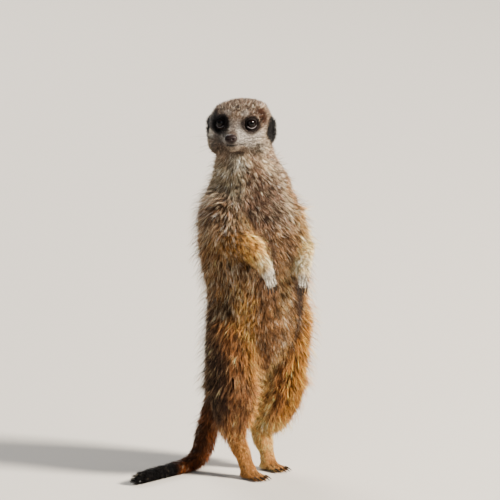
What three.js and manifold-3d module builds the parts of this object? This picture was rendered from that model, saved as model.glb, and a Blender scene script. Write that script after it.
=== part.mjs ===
// A life-size meerkat (Suricata suricatta) on watch: upright on its hind feet, propped by its tail,
// forepaws hanging before the belly, chest and head turned to its own right.
// Millimetres, +Z up. The hips face -Y, so the animal's left is +X. The solids reach to the tips of the
// coat. The origin is on the floor, under the middle of the whole animal's box.
import * as THREE from "three";
import { mergeVertices } from "three/addons/utils/BufferGeometryUtils.js";
import Module from "manifold-3d";

const wasm = await Module();
wasm.setup();

// ---- Driving sizes ----------------------------------------------------------------------------

const GAP = 0.35; // clear space between two parts that meet
const HEAD_AT = [-17.4, -1, 279]; // middle of the skull, between the ears
const HEAD_TURN = 49; // degrees that the face looks to the animal's right
const HEAD_RISE = -4; // degrees that the muzzle points up
const CHEST_TURN = 14; // degrees that the chest is turned the same way
const EYE_RADIUS = 5.2;
const EYE_AT = [15.6, 10.4, 4.4]; // forward, sideways and up from the skull's middle
const EYE_LOOK = [0.86, 0.48, 0.1]; // the way that the left eye faces, in the head's directions
const ORBIT_RADIUS = 7; // the hollow of short hair in front of each eye
const ORBIT_REACH = 9.4; // its middle, from the eye's middle
const EAR_AT = [-6, 23.2, -6];
const EAR_HALF = [7, 4.4, 11.2];
const NOSE_AT = [42.6, 0, -1.8];
const NOSE_HALF = [3.1, 4.1, 3.1];
const CHEEK_AT = [3, 16.8, -13.5];
const CHEEK_HALF = [11.5, 8.2, 11.5];
const FORE_CLAW = { length: 7, root: 1.15 };
const HIND_CLAW = { length: 6, root: 1.15 };
const DIGITS = 4; // on each foot

// ---- Turning sizes into shapes ----------------------------------------------------------------

const vector = (p) => new THREE.Vector3(...p);
const radians = THREE.MathUtils.degToRad;

// The way that something turned by these degrees to the animal's right faces.
const facing = (degrees) => new THREE.Vector3(-Math.sin(radians(degrees)), -Math.cos(radians(degrees)), 0);

// A closed solid from a three.js geometry.
function solid(geometry) {
  const bare = new THREE.BufferGeometry();
  bare.setAttribute("position", geometry.getAttribute("position").clone());
  if (geometry.index) bare.setIndex(geometry.index.clone());
  const merged = mergeVertices(bare, 1e-4);
  return new wasm.Manifold(
    new wasm.Mesh({
      numProp: 3,
      vertProperties: merged.getAttribute("position").array,
      triVerts: new Uint32Array(merged.index.array),
    }),
  );
}

// A solid back as a three.js geometry. Only its largest body is kept, without slivers that a cut left.
function geometryOf(whole) {
  const bodies = whole.decompose();
  const largest = bodies.reduce((a, b) => (b.volume() > a.volume() ? b : a));
  const mesh = largest.getMesh();
  const geometry = new THREE.BufferGeometry();
  geometry.setAttribute("position", new THREE.BufferAttribute(new Float32Array(mesh.vertProperties), 3));
  geometry.setIndex(new THREE.BufferAttribute(new Uint32Array(mesh.triVerts), 1));
  geometry.computeVertexNormals();
  return geometry;
}

// Sweeps an oval section along a smooth line of stations, and closes it with a low dome at each end.
// A station is { at, side, front, back, turn }: the middle of the section, its half width, its reach
// to the front and to the back, and the degrees that its front is turned to the animal's right.
// `towards` is another way for all fronts to face. `first` and `last` pick a length of the whole line,
// by the stations' numbers, and a length ends in a flat cut where the whole goes on.
function sweep(stations, options = {}) {
  const { sides = 12, steps = 3, grow = 0, towards, dome = [0.55, 0.55] } = options;
  const { first = 0, last = stations.length - 1 } = options;
  const middles = new THREE.CatmullRomCurve3(stations.map((s) => vector(s.at)));
  const reaches = new THREE.CatmullRomCurve3(
    stations.map((s) => new THREE.Vector3(s.side, s.front, s.back ?? s.front)),
  );
  const turns = stations.map((s) => s.turn ?? 0);
  const positions = [];

  // One ring of points at a place along the line, pushed along it by `shift` and narrowed to `scale`.
  const ring = (place, shift, scale) => {
    const t = place / (stations.length - 1);
    const along = middles.getTangent(t);
    const reach = reaches.getPoint(t);
    const before = Math.min(Math.floor(place), stations.length - 2);
    const turn = THREE.MathUtils.lerp(turns[before], turns[before + 1], place - before);
    const front = towards ? vector(towards) : facing(turn);
    front.addScaledVector(along, -front.dot(along)).normalize();
    const side = new THREE.Vector3().crossVectors(along, front);
    const middle = middles.getPoint(t).addScaledVector(along, shift);
    for (let i = 0; i < sides; i++) {
      const angle = (2 * Math.PI * i) / sides;
      const deep = Math.cos(angle) > 0 ? reach.y : reach.z;
      const point = middle
        .clone()
        .addScaledVector(front, Math.cos(angle) * (deep + grow) * scale)
        .addScaledVector(side, Math.sin(angle) * (reach.x + grow) * scale);
      positions.push(...point.toArray());
    }
  };
  // How far an end stands out: a dome by its share of the thickness, a flat cut only by a little.
  const isCut = (place) => place > 0 && place < stations.length - 1;
  const bulge = (place, share) => {
    const reach = reaches.getPoint(place / (stations.length - 1));
    return grow + (isCut(place) ? 0.15 : share * Math.min(reach.x, (reach.y + reach.z) / 2));
  };
  const low = bulge(first, dome[0]);
  const high = bulge(last, dome[1]);
  const rim = 0.72; // height and width of a dome's one ring, as shares of the dome's
  ring(first, -low * rim, isCut(first) ? 1 : rim);
  for (let k = 0; k <= (last - first) * steps; k++) ring(first + k / steps, 0, 1);
  ring(last, high * rim, isCut(last) ? 1 : rim);
  const rings = positions.length / 3 / sides;
  for (const [place, push] of [[first, -low], [last, high]]) {
    const t = place / (stations.length - 1);
    const pole = middles.getPoint(t).addScaledVector(middles.getTangent(t), push * (isCut(place) ? rim : 1));
    positions.push(...pole.toArray());
  }

  const index = [];
  const at = (r, i) => r * sides + (i % sides);
  for (let r = 0; r < rings - 1; r++)
    for (let i = 0; i < sides; i++) {
      index.push(at(r, i), at(r, i + 1), at(r + 1, i + 1));
      index.push(at(r, i), at(r + 1, i + 1), at(r + 1, i));
    }
  for (let i = 0; i < sides; i++) {
    index.push(rings * sides, at(0, i + 1), at(0, i));
    index.push(rings * sides + 1, at(rings - 1, i), at(rings - 1, i + 1));
  }
  const geometry = new THREE.BufferGeometry();
  geometry.setAttribute("position", new THREE.BufferAttribute(new Float32Array(positions), 3));
  geometry.setIndex(index);
  return solid(geometry);
}

// A ball stretched to three half sizes, moved by a matrix.
function ball(half, at, placed, grow = 0, sides = 10, rows = 7) {
  const geometry = new THREE.SphereGeometry(1, sides, rows);
  geometry.scale(half[0] + grow, half[1] + grow, half[2] + grow);
  geometry.translate(...at);
  if (placed) geometry.applyMatrix4(placed);
  return solid(geometry);
}

// ---- The parts, in the order in which they keep their shape ---------------------------------------

const parts = new Map(); // name -> { shape, room, colour, roughness }, room being the shape grown by the gap

// Adds a part. `shape(grow)` makes it, and the parts in `against` keep their own shape where it meets them.
function add(name, look, shape, against = []) {
  let made = shape(0);
  for (const other of against) made = made.subtract(parts.get(other).room);
  parts.set(name, { shape: made, room: shape(GAP), ...look });
}

const LOOKS = {
  grey_coat: { colour: 0x9a8a74, roughness: 0.95 },
  back_coat: { colour: 0x8a6a44, roughness: 0.95 },
  leg_coat: { colour: 0xa8743c, roughness: 0.95 },
  pale_coat: { colour: 0xcbb48c, roughness: 0.95 },
  dark_coat: { colour: 0x2a201a, roughness: 0.95 },
  eye: { colour: 0x120b08, roughness: 0.08 },
  nose_skin: { colour: 0x33221e, roughness: 0.45 },
  claw: { colour: 0x2b221d, roughness: 0.4 },
};
const SIDES = { left: 1, right: -1 };

// The head's own directions: X forward out of the muzzle, Y to the animal's left, Z up.
const headPlace = new THREE.Matrix4()
  .makeTranslation(...HEAD_AT)
  .multiply(new THREE.Matrix4().makeRotationZ(radians(-90 - HEAD_TURN)))
  .multiply(new THREE.Matrix4().makeRotationY(radians(-HEAD_RISE)));
const inHead = (p) => vector(p).applyMatrix4(headPlace).toArray();

function makeEyes() {
  for (const [side, sign] of Object.entries(SIDES)) {
    const at = [EYE_AT[0], sign * EYE_AT[1], EYE_AT[2]];
    const half = [EYE_RADIUS, EYE_RADIUS, EYE_RADIUS];
    add(`eye_${side}`, LOOKS.eye, (grow) => ball(half, at, headPlace, grow));
  }
}

// Each ear is a small upright shell, low on the side of the head, open to the front and outside.
function makeEars() {
  for (const [side, sign] of Object.entries(SIDES)) {
    const at = [EAR_AT[0], sign * EAR_AT[1], EAR_AT[2]];
    const hollow = [at[0] + 5, at[1] + sign * 4.2, at[2] + 0.5];
    add(`ear_${side}`, LOOKS.dark_coat, (grow) =>
      ball(EAR_HALF, at, headPlace, grow, 10, 7).subtract(ball([5.4, 4.2, 7.2], hollow, headPlace, 0, 8, 6)),
    );
  }
}

function makeNose() {
  add("nose", LOOKS.nose_skin, (grow) => ball(NOSE_HALF, NOSE_AT, headPlace, grow, 10, 6));
}

// Skull, cheeks and muzzle, from the back of the head to the lip: forward, height of the middle,
// half width, reach up and reach down.
const HEAD_SECTIONS = [
  [-28, -1, 12, 9.6, 12],
  [-21, 0, 18.4, 14.7, 19.5],
  [-10, 0, 23.2, 17.2, 23],
  [1, 0, 23.8, 17, 22.6],
  [9, 0, 22.6, 16.4, 22],
  [16, 0, 19, 14.6, 20.6],
  [22, -0.4, 14.2, 10.4, 17.8],
  [29, -1.6, 9.8, 5.2, 14.8],
  [36, -2.8, 7.2, 3.8, 11.4],
  [41, -3.2, 5.4, 3.2, 8.4],
];

function makeHead() {
  const skull = (grow) =>
    sweep(
      HEAD_SECTIONS.map(([forward, height, side, up, down]) => ({
        at: inHead([forward, 0, height]),
        side,
        front: up,
        back: down,
      })),
      { sides: 16, steps: 1, grow, towards: [0, 0, 1], dome: [0.5, 0.4] },
    );
  const cheeks = (grow) =>
    Object.values(SIDES).map((sign) =>
      ball(CHEEK_HALF, [CHEEK_AT[0], sign * CHEEK_AT[1], CHEEK_AT[2]], headPlace, grow, 8, 6),
    );
  const look = vector(EYE_LOOK).normalize().multiplyScalar(ORBIT_REACH).toArray();
  const orbits = Object.values(SIDES).map((sign) =>
    ball(
      [ORBIT_RADIUS, ORBIT_RADIUS, ORBIT_RADIUS],
      [EYE_AT[0] + look[0], sign * (EYE_AT[1] + look[1]), EYE_AT[2] + look[2]],
      headPlace,
    ),
  );
  add(
    "head",
    LOOKS.grey_coat,
    (grow) => {
      const furred = cheeks(grow).reduce((whole, cheek) => whole.add(cheek), skull(grow));
      return orbits.reduce((whole, orbit) => whole.subtract(orbit), furred);
    },
    ["eye_left", "eye_right", "ear_left", "ear_right", "nose"],
  );
}

function makeNeck() {
  const stations = [
    { at: [-4.5, 3, 226], side: 35.5, front: 26, back: 32, turn: 18 },
    { at: [-6.6, 2.5, 239], side: 28.6, front: 22.5, back: 27, turn: 26 },
    { at: [-9.4, 2, 250], side: 24.2, front: 20, back: 25, turn: 33 },
    { at: [-11, 1.5, 261], side: 22.6, front: 19.5, back: 25, turn: 40 },
  ];
  add("neck", LOOKS.grey_coat, (grow) => sweep(stations, { sides: 14, steps: 1, grow }), [
    "head",
    "ear_left",
    "ear_right",
  ]);
}

// Arms: shoulder, elbow and wrist, the point that the fingers hang to, how thick the coat makes the
// arm, and how far the middle of the forearm stands off the straight line.
const ARMS = {
  left: {
    shoulder: [20.5, -17, 208],
    elbow: [29, -20.5, 179],
    wrist: [10.8, -43.6, 164.8],
    tips: [9.8, -45, 153.3],
    girth: 0.8,
    bow: [0, 0, 0],
  },
  right: {
    shoulder: [-34, 2, 215],
    elbow: [-35.5, -10, 191.5],
    wrist: [-24.6, -41, 172],
    tips: [-20.5, -43.5, 157.5],
    girth: 1.1,
    bow: [4, -4.5, 3.2],
  },
};

// The point at this share of the way from one point to another.
const between = (a, b, share) => vector(a).lerp(vector(b), share).toArray();

// A limb bone's flesh and coat: half thickness at its root, its middle, moved by `bow`, and its end.
function limb(from, to, root, middle, end, grow, sides = 10, bow = [0, 0, 0]) {
  const halfway = vector(between(from, to, 0.5)).add(vector(bow)).toArray();
  const stations = [
    { at: from, side: root[0], front: root[1] },
    { at: halfway, side: middle[0], front: middle[1] },
    { at: to, side: end[0], front: end[1] },
  ];
  return sweep(stations, { sides, steps: 1, grow });
}

// Digits fanned across a paw, each a capsule ending in a claw. `spread` is the distance between two
// neighbours at the tips, `root` and `tips` the middle of the fan, and `across` the way it spreads.
function digitLines(root, tips, across, spread) {
  return Array.from({ length: DIGITS }, (_, i) => {
    const offset = i - (DIGITS - 1) / 2;
    const inward = Math.abs(offset) > 1 ? 0.14 : 0; // the outer digits are the shorter ones
    const tip = vector(tips).lerp(vector(root), inward).addScaledVector(across, offset * spread);
    return { root: vector(root).addScaledVector(across, offset * spread * 0.8).toArray(), tip: tip.toArray() };
  });
}

function digit(line, radius, grow) {
  const stations = [
    { at: line.root, side: radius, front: radius },
    { at: line.tip, side: radius * 0.85, front: radius * 0.8 },
  ];
  return sweep(stations, { sides: 5, steps: 1, grow, dome: [0.3, 0.8] });
}

// A curved, tapering claw that leaves a digit's tip along `along` and bends towards `down`.
function claw(tip, along, down, size, grow) {
  const stations = [0, 0.5, 1].map((share) => {
    const at = vector(tip)
      .addScaledVector(along, size.length * share)
      .addScaledVector(down, size.length * 0.28 * share * share);
    const half = size.root * (1 - 0.72 * share);
    return { at: at.toArray(), side: half * 0.8, front: half };
  });
  return sweep(stations, { sides: 4, steps: 1, grow, dome: [0.2, 0.8], towards: down.toArray() });
}

function makeArm(side) {
  const { shoulder, elbow, wrist, tips, girth, bow } = ARMS[side];
  const thick = (...half) => half.map((reach) => reach * girth);
  const down = vector(tips).sub(vector(wrist)).normalize();
  const across = new THREE.Vector3(1, 0, 0).addScaledVector(down, -down.x).normalize();
  const knuckles = between(wrist, tips, 0.5);
  const lines = digitLines(knuckles, tips, across, 2.9);
  const bend = new THREE.Vector3(0, 1, 0).addScaledVector(down, -down.y).normalize();
  lines.forEach((line, i) =>
    add(`claw_fore_${side}_${i + 1}`, LOOKS.claw, (grow) =>
      claw(between(line.root, line.tip, 0.92), down, bend, FORE_CLAW, grow),
    ),
  );
  const claws = lines.map((_, i) => `claw_fore_${side}_${i + 1}`);
  const hand = (grow) => {
    const palm = limb(wrist, knuckles, [5.2, 5], [6, 4.4], [5.6, 3.4], grow, 7);
    return lines.reduce((whole, line) => whole.add(digit(line, 1.9, grow)), palm);
  };
  add(`forepaw_${side}`, LOOKS.pale_coat, hand, claws);
  add(
    `forearm_${side}`,
    LOOKS.pale_coat,
    (grow) => limb(elbow, between(elbow, wrist, 0.97), thick(12, 13), thick(10, 11), [6.4, 6.4], grow, 10, bow),
    [`forepaw_${side}`],
  );
  add(
    `upper_arm_${side}`,
    LOOKS.back_coat,
    (grow) => limb(shoulder, elbow, [11, 15], thick(12, 15), thick(11, 14), grow),
    [`forearm_${side}`, "neck"],
  );
}

// Legs. The furred haunch and shank hang as one from the hip to the hock, wide at the knee: height,
// middle and reaches. The foot stands on its toes, and `tips` is the point between their ends.
const LEGS = {
  left: {
    haunch: [
      { at: [29, 7, 145], side: 17, front: 23, back: 20 },
      { at: [31, 4, 118], side: 20, front: 28.5, back: 22 },
      { at: [27.6, 2.5, 94], side: 18.6, front: 28, back: 25 },
      { at: [25.8, 3, 72], side: 18.4, front: 27.5, back: 21 },
      { at: [24, 4, 53], side: 17, front: 22, back: 15 },
      { at: [18.5, 7, 36.5], side: 12, front: 14, back: 10 },
    ],
    hock: [14, 12, 38],
    ball: [13, 0, 5.2],
    tips: [14.5, -16, 1.8],
  },
  right: {
    haunch: [
      { at: [-23, 9, 138], side: 13, front: 19, back: 19 },
      { at: [-24, 5, 118], side: 16, front: 25, back: 21 },
      { at: [-26, 1, 94], side: 17, front: 27, back: 24 },
      { at: [-27, 0, 72], side: 16, front: 27, back: 26 },
      { at: [-23, 2.5, 52], side: 14.5, front: 21, back: 16.5 },
      { at: [-20.5, 4, 33], side: 8.6, front: 10.6, back: 8.4 },
    ],
    hock: [-20.5, 5, 38],
    ball: [-18.5, -13.5, 5.2],
    tips: [-17.5, -29.5, 1.8],
  },
};
const KNEE = 3; // the haunch's station where it is cut into thigh and shank

function makeLeg(side) {
  const { haunch, hock, ball: pad, tips } = LEGS[side];
  const ahead = vector(tips).sub(vector(pad)).setZ(0).normalize();
  const across = new THREE.Vector3(-ahead.y, ahead.x, 0);
  const down = new THREE.Vector3(0, 0, -1);
  const lines = digitLines([pad[0], pad[1], 3.6], tips, across, 4);
  lines.forEach((line, i) =>
    add(`claw_hind_${side}_${i + 1}`, LOOKS.claw, (grow) =>
      claw(between(line.root, [line.tip[0], line.tip[1], 3], 0.94), ahead, down, HIND_CLAW, grow),
    ),
  );
  const claws = lines.map((_, i) => `claw_hind_${side}_${i + 1}`);
  const foot = (grow) => {
    const stations = [
      { at: hock, side: 6.2, front: 6.6 },
      { at: between(hock, pad, 0.5), side: 5.6, front: 5.8 },
      { at: pad, side: 7.4, front: 5.6 },
    ];
    const shaft = sweep(stations, { sides: 8, steps: 1, grow });
    const sole = ball([8.4, 9, 4.4], [0, 0, 0], placedAt([pad[0], pad[1] - 1, 3.4], ahead), grow, 8, 5);
    return lines.reduce((whole, line) => whole.add(digit(line, 2.6, grow)), shaft.add(sole));
  };
  add(`hindfoot_${side}`, LOOKS.leg_coat, foot, claws);
  const lengths = { sides: 14, steps: 1 };
  add(
    `shank_${side}`,
    LOOKS.leg_coat,
    (grow) => sweep(haunch, { ...lengths, grow, first: KNEE }),
    [`hindfoot_${side}`],
  );
  add(`thigh_${side}`, LOOKS.leg_coat, (grow) => sweep(haunch, { ...lengths, grow, last: KNEE }), [
    `shank_${side}`,
    "tail_root",
    "tail_middle",
  ]);
}

// A matrix that stands something on a point with its Y side facing back along a level direction.
function placedAt(point, ahead) {
  const turn = Math.atan2(ahead.x, -ahead.y);
  return new THREE.Matrix4().makeTranslation(...point).multiply(new THREE.Matrix4().makeRotationZ(turn));
}

// The tail leaves the rump, props the body behind the feet and lies on the floor to its tip.
const TAIL = [
  { at: [-3, 25, 88], side: 17, front: 15 },
  { at: [-6, 32, 68], side: 13, front: 13 },
  { at: [-11, 38, 47], side: 9.8, front: 9.8 },
  { at: [-16, 40.5, 29], side: 8.8, front: 8.8 },
  { at: [-22, 39, 15], side: 8.2, front: 8 },
  { at: [-34, 35.6, 6.8], side: 7, front: 6.8 },
  { at: [-52, 32.5, 5], side: 5.6, front: 5.4 },
  { at: [-75, 29, 4.7], side: 5.4, front: 5 },
  { at: [-93, 26, 4.5], side: 5, front: 4.8 },
  { at: [-101, 25, 4], side: 3.8, front: 3.8 },
];
const TAIL_CUTS = { tail_root: [0, 3], tail_middle: [3, 6], tail_tip: [6, 9] };

function makeTail() {
  for (const [name, [first, last]] of Object.entries(TAIL_CUTS)) {
    const look = name === "tail_tip" ? LOOKS.dark_coat : LOOKS.leg_coat;
    const before = [...parts.keys()].filter((other) => other.startsWith("tail_"));
    add(name, look, (grow) => sweep(TAIL, { sides: 9, steps: 2, grow, first, last }), before);
  }
}

function makeTrunk() {
  const stations = [
    { at: [0, 13, 76], side: 24, front: 18, back: 20, turn: 0 },
    { at: [1, 10, 98], side: 35, front: 31, back: 29, turn: 0 },
    { at: [3.5, 5, 126], side: 41, front: 37, back: 34, turn: 2 },
    { at: [3, 3, 153], side: 43, front: 37, back: 36, turn: 6 },
    { at: [-2.6, 2, 184], side: 43.8, front: 34, back: 41, turn: 10 },
    { at: [-4.5, 2, 211], side: 41.5, front: 30, back: 39, turn: CHEST_TURN },
    { at: [-5, 3, 228], side: 34.5, front: 24, back: 31, turn: 18 },
  ];
  const limbs = /^(neck|upper_arm|forearm|forepaw|claw_fore|thigh|shank|tail_root)/;
  const neighbours = [...parts.keys()].filter((name) => limbs.test(name));
  add("trunk", LOOKS.back_coat, (grow) => sweep(stations, { sides: 16, steps: 2, grow }), neighbours);
}

// ---- The animal -------------------------------------------------------------------------------------

function makeAnimal() {
  makeEyes();
  makeEars();
  makeNose();
  makeHead();
  makeNeck();
  makeTail();
  for (const side of Object.keys(SIDES)) {
    makeArm(side);
    makeLeg(side);
  }
  makeTrunk();

  // What would sink below the floor is cut off level, which leaves the soles' and the tail's flats.
  const belowFloor = solid(new THREE.BoxGeometry(600, 600, 100).translate(0, 0, -50));
  const animal = new THREE.Group();
  for (const [name, { shape, colour, roughness }] of parts) {
    const material = new THREE.MeshStandardMaterial({ color: colour, roughness, metalness: 0 });
    const mesh = new THREE.Mesh(geometryOf(shape.subtract(belowFloor)), material);
    mesh.name = name;
    animal.add(mesh);
  }
  return animal;
}

const animal = makeAnimal();
const middle = new THREE.Box3().setFromObject(animal).getCenter(new THREE.Vector3());
for (const mesh of animal.children) mesh.geometry.translate(-middle.x, -middle.y, 0);

export default animal;
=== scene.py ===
# %% [markdown]
# A life-size meerkat on watch, as a museum would mount it: upright on its hind feet, propped by its
# tail. The frame gives closed solids that reach to the tips of the coat. Over them this lesson makes
# one skin, sets eyes, nose and claws in it, and grows the coat from it as small solid tufts.

import heapq
import math

import bmesh
import bpy
import numpy as np
from mathutils import Matrix, Vector, noise
from mathutils.bvhtree import BVHTree
from mathutils.kdtree import KDTree


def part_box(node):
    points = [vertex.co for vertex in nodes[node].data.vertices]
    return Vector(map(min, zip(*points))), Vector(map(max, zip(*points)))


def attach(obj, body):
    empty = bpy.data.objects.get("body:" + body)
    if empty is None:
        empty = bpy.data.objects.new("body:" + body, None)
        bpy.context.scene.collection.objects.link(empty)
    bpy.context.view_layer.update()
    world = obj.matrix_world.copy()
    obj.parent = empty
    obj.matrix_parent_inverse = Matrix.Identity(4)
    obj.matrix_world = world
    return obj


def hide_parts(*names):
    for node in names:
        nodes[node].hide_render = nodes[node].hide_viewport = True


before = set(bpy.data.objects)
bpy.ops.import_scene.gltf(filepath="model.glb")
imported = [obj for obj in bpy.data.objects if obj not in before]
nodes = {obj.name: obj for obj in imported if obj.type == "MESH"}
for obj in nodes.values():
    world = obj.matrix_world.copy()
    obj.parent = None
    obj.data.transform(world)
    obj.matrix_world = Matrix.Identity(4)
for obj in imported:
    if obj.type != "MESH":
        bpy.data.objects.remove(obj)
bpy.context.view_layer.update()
MM = 0.001

# %% [markdown]
# The camera stands a little above the animal and well away from it, with a long lens, so that near and far
# parts keep the same scale. The view's look has a little more contrast than the plain one, as sunlit fur
# has.

# %% Camera
VIEW_AZIMUTH = math.radians(-40)
VIEW_RISE = math.radians(11)
VIEW_DISTANCE = 5.0
AIM = Vector((0.0225, 0.0027, 0.1770))
FIELD = 0.3894  # metres across the frame at the animal

camera = bpy.data.objects.new("camera", bpy.data.cameras.new("camera"))
bpy.context.scene.collection.objects.link(camera)
towards_camera = Vector(
    (
        math.sin(VIEW_AZIMUTH) * math.cos(VIEW_RISE),
        -math.cos(VIEW_AZIMUTH) * math.cos(VIEW_RISE),
        math.sin(VIEW_RISE),
    )
)
camera.location = AIM + towards_camera * VIEW_DISTANCE
camera.rotation_euler = (-towards_camera).to_track_quat("-Z", "Y").to_euler()
camera.data.lens = camera.data.sensor_width * VIEW_DISTANCE / FIELD
camera.data.clip_end = 50
bpy.context.scene.camera = camera
bpy.context.scene.view_settings.look = "AgX - Medium High Contrast"
print("camera lens:", round(camera.data.lens), "mm")

# %% [markdown]
# Fur shows its depth when one light is clearly the strongest. A warm key stands in front on the
# animal's left, a weak cool fill opposite lifts the shadows, and a rim light behind catches the tips
# of the coat. Area lights are used, because a sun or a point would cut hard shadows.

# %% Lights
LIT_PLACE = Vector((0, 0, 0.16))  # every light points at the middle of the animal
LIGHTS = {  # place and size in metres, watts, colour
    "key": ((1.8, -2.84, 2.2), 0.7, 450, (1.0, 0.94, 0.84)),
    "fill": ((-2.6, -1.8, 1.2), 2.0, 24, (0.84, 0.92, 1.0)),
    "rim": ((1.2, 2.8, 2.2), 1.6, 80, (1.0, 0.96, 0.9)),
}


def new_object(name, data):
    made = bpy.data.objects.new(name, data)
    bpy.context.scene.collection.objects.link(made)
    return made


for name, (place, size, watts, colour) in LIGHTS.items():
    light = bpy.data.lights.new(name, "AREA")
    light.size = size
    light.energy = watts
    light.color = colour
    lamp = new_object(name, light)
    lamp.location = place
    lamp.rotation_euler = (LIT_PLACE - lamp.location).to_track_quat("-Z", "Y").to_euler()

world = bpy.data.worlds.new("studio")
world.use_nodes = True
sky = world.node_tree.nodes["Background"]
sky.inputs["Color"].default_value = (0.76, 0.81, 0.88, 1)
sky.inputs["Strength"].default_value = 0.32
bpy.context.scene.world = world
print("lights:", ", ".join(LIGHTS))

# %% [markdown]
# The floor is a wide pale plane, so its edge never shows. It is only a stage, not part of the model.

# %% Floor
FLOOR_HALF = 6  # metres


def set_inputs(node, **values):
    """Sets a node's inputs by their names, with an underscore for each space."""
    for name, value in values.items():
        node.inputs[name.replace("_", " ")].default_value = value
    return node


def plain_material(name, colour, roughness):
    material = bpy.data.materials.new(name)
    material.use_nodes = True
    shader = material.node_tree.nodes["Principled BSDF"]
    set_inputs(shader, Base_Color=(*colour, 1), Roughness=roughness)
    return material, shader


floor_mesh = bpy.data.meshes.new("floor")
floor_corners = [(x * FLOOR_HALF, y * FLOOR_HALF, 0) for x, y in ((-1, -1), (1, -1), (1, 1), (-1, 1))]
floor_mesh.from_pydata(floor_corners, [], [(0, 1, 2, 3)])
floor_mesh.materials.append(plain_material("pale floor", (0.62, 0.58, 0.53), 0.9)[0])
floor = new_object("floor", floor_mesh)
print("floor:", 2 * FLOOR_HALF, "m wide")

# %% [markdown]
# The head has directions of its own: X forward out of the muzzle, Y to the animal's left, Z up. They are
# given by the head's turn and rise, and its middle is found from the solids of the eyes, so every feature of
# the face is placed in millimetres there.

# %% The head's directions
HEAD_TURN = math.radians(49)  # the face looks this far to the animal's right
HEAD_RISE = math.radians(-4)
EYE_AT = np.array([15.6, 10.4, 4.4])  # the left eye, from the middle of the skull
EYE_RADIUS = 5.2
EYE_LOOK = np.array([0.86, 0.48, 0.1])
NOSE_AT = np.array([42.6, 0, -1.8])
EAR_AT = np.array([-6, 23.2, -6])


def middle(node):
    low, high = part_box(node)
    return np.array((low + high) / 2)


head_axes = np.array(
    Matrix.Rotation(-math.pi / 2 - HEAD_TURN, 3, "Z") @ Matrix.Rotation(-HEAD_RISE, 3, "Y")
)  # columns are the head's X, Y and Z
between_eyes = (middle("eye_left") + middle("eye_right")) / 2
head_at = between_eyes - head_axes @ (EYE_AT * (1, 0, 1)) * MM


def in_head(points):
    """Points in the row frame, metres, as millimetres in the head's directions."""
    return (points - head_at) @ head_axes / MM


def from_head(points):
    return points @ head_axes.T * MM + head_at


print("skull's middle:", head_at.round(4))

# %% [markdown]
# One skin covers all the flesh of an animal, but the solids part it with thin gaps. They are swelled
# along their normals until they touch, and joined as one set of faces. The solids themselves stay as
# they are: each is copied, and the copy's loose triangles are merged first, or they would come apart.

# %% Join the solids of flesh
SWELL = 0.45 * MM
flesh = sorted(name for name in nodes if not name.startswith("claw_"))


def merged_copy(node, swell=0.0):
    """A CAD node's vertices and faces with its doubles merged."""
    shape = bmesh.new()
    shape.from_mesh(nodes[node].data)
    bmesh.ops.remove_doubles(shape, verts=shape.verts, dist=1e-6)
    shape.normal_update()
    points = np.array([v.co + v.normal * swell for v in shape.verts])
    faces = [[v.index for v in f.verts] for f in shape.faces]
    shape.free()
    return points, faces


def joined(names, swell=0.0):
    """All these nodes as one set of points and faces, and the node's number for each face."""
    points, faces, labels = [], [], []
    start = 0
    for label, name in enumerate(names):
        node_points, node_faces = merged_copy(name, swell)
        points.append(node_points)
        faces += [[start + i for i in face] for face in node_faces]
        labels += [label] * len(node_faces)
        start += len(node_points)
    return np.concatenate(points), faces, np.array(labels)


swelled, swelled_faces, _ = joined(flesh, SWELL)
print("flesh:", len(flesh), "solids,", len(swelled_faces), "faces")

# %% [markdown]
# A voxel remesh turns them into one closed surface of even quads. A boolean union would also close
# it, but it keeps every seam's sliver, and a skin that will be sculpted wants even faces.

# %% Remesh them into one skin
VOXEL = 0.85 * MM


def applied(source):
    """A plain mesh of the object with its modifiers applied."""
    return bpy.data.meshes.new_from_object(source.evaluated_get(bpy.context.evaluated_depsgraph_get()))


def remeshed(points, faces, voxel):
    mesh = bpy.data.meshes.new("to remesh")
    mesh.from_pydata(points.tolist(), [], faces)
    source = new_object("to remesh", mesh)
    modifier = source.modifiers.new("voxels", "REMESH")
    modifier.mode = "VOXEL"
    modifier.voxel_size = voxel
    result = applied(source)
    bpy.data.objects.remove(source)
    return result


def read(items, name, width, kind=float):
    """One property of all the items, as an array with this many columns."""
    flat = np.empty(len(items) * width, dtype=kind)
    items.foreach_get(name, flat)
    return flat.reshape(-1, width)


def points_of(mesh):
    return read(mesh.vertices, "co", 3)


def edges_of(mesh):
    return read(mesh.edges, "vertices", 2, np.int64)


def normals_of(mesh):
    return read(mesh.vertex_normals, "vector", 3)


def keep_largest(mesh):
    """Removes the small islands that a remesh can leave inside a closed seam."""
    pairs = edges_of(mesh)
    island = np.arange(len(mesh.vertices))
    while True:
        lowest = np.minimum(island[pairs[:, 0]], island[pairs[:, 1]])
        before = island.copy()
        np.minimum.at(island, pairs[:, 0], lowest)
        np.minimum.at(island, pairs[:, 1], lowest)
        island = island[island]
        if (island == before).all():
            break
    largest = np.bincount(island).argmax()
    shape = bmesh.new()
    shape.from_mesh(mesh)
    bmesh.ops.delete(shape, geom=[v for v in shape.verts if island[v.index] != largest])
    shape.to_mesh(mesh)
    shape.free()
    return mesh


skin_mesh = keep_largest(remeshed(swelled, swelled_faces, VOXEL))
print("remeshed skin:", len(skin_mesh.vertices), "vertices")

# %% [markdown]
# Every vertex learns which part of the body it belongs to, from the nearest solid. The labels are then
# spread over the surface as soft weights, so depth and colour change gently from one part to the next.

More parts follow.
